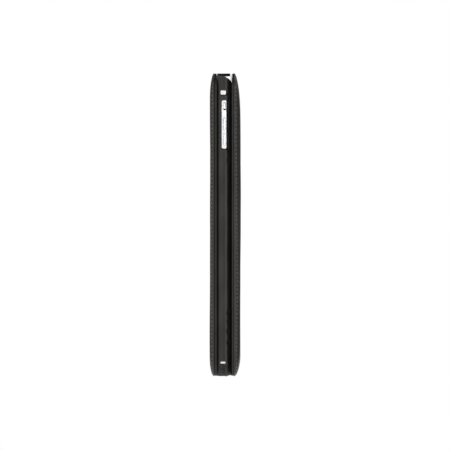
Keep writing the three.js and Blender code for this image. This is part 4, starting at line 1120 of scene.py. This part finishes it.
# %% Ribbon
def lift_ribbon():
    """A flat section with round edges along a path: straight down, round the slate's curved foot in a
    quarter ellipse, and straight under it."""
    low, high = corners("lift_ribbon")
    thick = 0.4
    behind, under = high[1] - thick / 2, low[2] + thick / 2
    reach, depth = BACK_CURVE + 0.35, behind
    angle = np.linspace(math.pi / 2, 0, 24)
    y = np.concatenate([np.full(150, behind), depth * np.sin(angle), np.linspace(-0.3, low[1], 12)])
    bend = under + reach * (1 - np.cos(angle))
    z = np.concatenate([np.linspace(high[2], under + reach + 0.4, 150), bend, np.full(12, under)])
    step = np.hypot(np.gradient(y), np.gradient(z))
    normal_y, normal_z = -np.gradient(z) / step, np.gradient(y) / step
    travelled = np.cumsum(step)
    half = (high[0] - low[0]) / 2
    across = np.concatenate([np.linspace(-1, 1, 12), np.linspace(1, -1, 12)])
    edge = np.sqrt(np.clip(1 - np.abs(across) ** 30, 0.02, 1))
    side = np.concatenate([np.full(12, 0.5), np.full(12, -0.5)]) * thick * edge
    grid = np.empty((len(y), 24, 3))
    grid[..., 0] = across * half
    grid[..., 1] = y[:, None] + normal_y[:, None] * side
    grid[..., 2] = z[:, None] + normal_z[:, None] * side
    made = piece("grosgrain_ribbon", *solid(grid), RIBBON, "slate", ["lift_ribbon"], "ribbon", sharp=50)
    carry(made, "along", np.append(np.repeat(travelled, 24), [0, travelled[-1]]))


# %% Tab
def lift_tab():
    """A plate of two layers, with a groove between them round its edge and a seam near it. Its
    underside sags a little between its two ends."""
    low, high = corners("lift_tab")
    half = (high[2] - low[2]) / 2
    rise = np.linspace(half, 0, 9)
    layer = half / 2
    bulge = 0.6 * layer * (1 - np.sqrt(np.clip(1 - ((rise - layer) / layer) ** 2, 0, 1)))
    seam = np.array([4.6, 3.4, 2.6, 2.1, 1.8, 1.5, 1.0, 0.6])
    pressed = -0.30 * bell(seam - 1.8, 0.35)
    top_inset = np.concatenate([seam, bulge])
    top_height = np.concatenate([half + pressed, rise])
    inset = np.concatenate([top_inset, top_inset[::-1][1:]])
    height = np.concatenate([top_height, -top_height[::-1][1:]])
    corner = 2.5
    count = 18 * PER_STITCH
    u = spread(count, high[0] - low[0], high[1] - low[1], corner)
    radius = np.maximum(corner - inset, 0.3)
    a, b = outline(u, high[0] - inset, low[1] + inset, high[1] - inset, radius)
    middle = (low[2] + high[2]) / 2
    grid = stack(a, b, middle + height, "z")
    share = (grid[..., 1] - low[1]) / (high[1] - low[1])
    grid[..., 2] -= 0.35 * np.sin(np.pi * np.clip(share, 0, 1)) * (grid[..., 2] < middle)
    made = piece("leather_tab", *solid(grid), BOUND_LEATHER, "tab", ["lift_tab"], "pouch_leather", sharp=70)
    row = 4
    up = np.broadcast_to(np.array([0.0, 0.0, 1.0]), grid[row].shape)
    stitch_row("tab_stitching", grid[row] - 0.28 * up, up, PER_STITCH, "tab", 2.4)
    wear_and_light_share = np.zeros(grid.shape[:2])
    wear_and_light_share[len(seam) : -len(seam)] = 0.5
    carry(made, "wear_and_light", np.append(wear_and_light_share.ravel(), [0, 0]))


lift_ribbon()
lift_tab()


# %% [markdown]
# ## Pieces kept from the frame
# The parts inside the slate and the panels already have their true shape, because they are flat plates,
# cans and cells. They keep it and get the finish of the real one.

# %% Finishes for the frame's own nodes
KEPT = {
    CARD: ["front_panel_board", "back_panel_board"],
    FOAM: ["front_panel_padding", "back_panel_padding"],
    ABS: ["glass_gasket", "headphone_socket", "speaker_box", "microphone", "light_sensor", "lock_switch"],
    DISPLAY: ["display_module"],
    FOIL: ["battery_cell_left", "battery_cell_right"],
    BOARD: ["main_board", "side_switch_board"],
    STEEL: [
        *[f"board_screw_{i}" for i in (1, 2, 3, 4)],
        "processor_shield",
        "power_shield",
        "wireless_module",
        "dock_socket",
        "volume_up_switch",
        "volume_down_switch",
        "power_switch",
        "home_switch",
    ],
}
for material, names in KEPT.items():
    for name in names:
        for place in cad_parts[name].material_slots:
            place.material = material
print("finishes given to", sum(map(len, KEPT.values())), "nodes")


# %% [markdown]
# ## Studio
# The pouch stands on a pale floor in soft light from four softboxes that the camera doesn't see. A large
# one round the camera is what the silver shell reflects, and a second far round to the front lights the
# front edge. A narrow one a little to the back draws the bright line along the gusset's fold, whose
# leather is also painted lighter there as painted highlight, and one behind and above lights the back panel.

# %% Floor
def floor():
    """A wide sheet of pale paper."""
    size = 4.0
    mesh = bpy.data.meshes.new("studio_floor")
    height = -0.0002
    mesh.from_pydata(
        [(-size, -size, height), (size, -size, height), (size, size, height), (-size, size, height)],
        [],
        [(0, 1, 2, 3)],
    )
    made = bpy.data.objects.new("studio_floor", mesh)
    material, tree, shader, place = finish_of("matt_background_paper", Roughness=0.9)
    tint = [(0.3, colour("#f6f6f5")), (0.7, colour("#fbfbfa"))]
    dress(tree, shader, (noise(tree, place, 10 / 3, 3.0), tint))
    shader.inputs["Emission Color"].default_value = (1.0, 1.0, 1.0, 1.0)
    shader.inputs["Emission Strength"].default_value = 0.80
    mesh.materials.append(material)
    bpy.context.scene.collection.objects.link(made)
    print("floor:", 2 * size, "m square")


floor()


# %% Lights
def softbox(name, azimuth, elevation, away, width, height, brightness):
    """A rectangle of even light that faces the object. Azimuth 90 is the camera's side, and less is
    nearer the front. Its power is pi times its area times the brightness seen in it."""
    data = bpy.data.lights.new(name, "AREA")
    data.shape = "RECTANGLE"
    data.size, data.size_y = width, height
    data.energy = math.pi * width * height * brightness
    made = bpy.data.objects.new(name, data)
    a, e = math.radians(azimuth), math.radians(elevation)
    back = np.array([math.sin(a) * math.cos(e), -math.cos(a) * math.cos(e), math.sin(e)])
    made.location = (back * away + np.array([0, 0, VIEW_MIDDLE * MM])).tolist()
    made.rotation_euler = Vector(back.tolist()).to_track_quat("Z", "Y").to_euler()
    made.visible_camera = False
    bpy.context.scene.collection.objects.link(made)


softbox("camera_softbox", 88, 4, 2.0, 1.3, 1.3, 0.80)
softbox("front_softbox", 34, 12, 1.6, 0.9, 1.5, 2.3)
softbox("fold_striplight", 112, 2, 1.8, 0.16, 1.7, 7.0)
softbox("back_softbox", 205, 34, 1.8, 1.2, 1.2, 1.5)

world = bpy.data.worlds.new("studio_white")
bpy.context.scene.world = world
world.use_nodes = True
tree = world.node_tree
sky = tree.nodes["Background"]
rays = node(tree, "ShaderNodeLightPath").outputs["Is Camera Ray"]
strength = node(tree, "ShaderNodeMapRange", {"To Min": 0.25, "To Max": 1.0}, {"Value": rays})
tree.links.new(strength.outputs[0], sky.inputs["Strength"])
sky.inputs["Color"].default_value = (1.0, 1.0, 1.0, 1.0)
bpy.context.scene.view_settings.view_transform = "Standard"
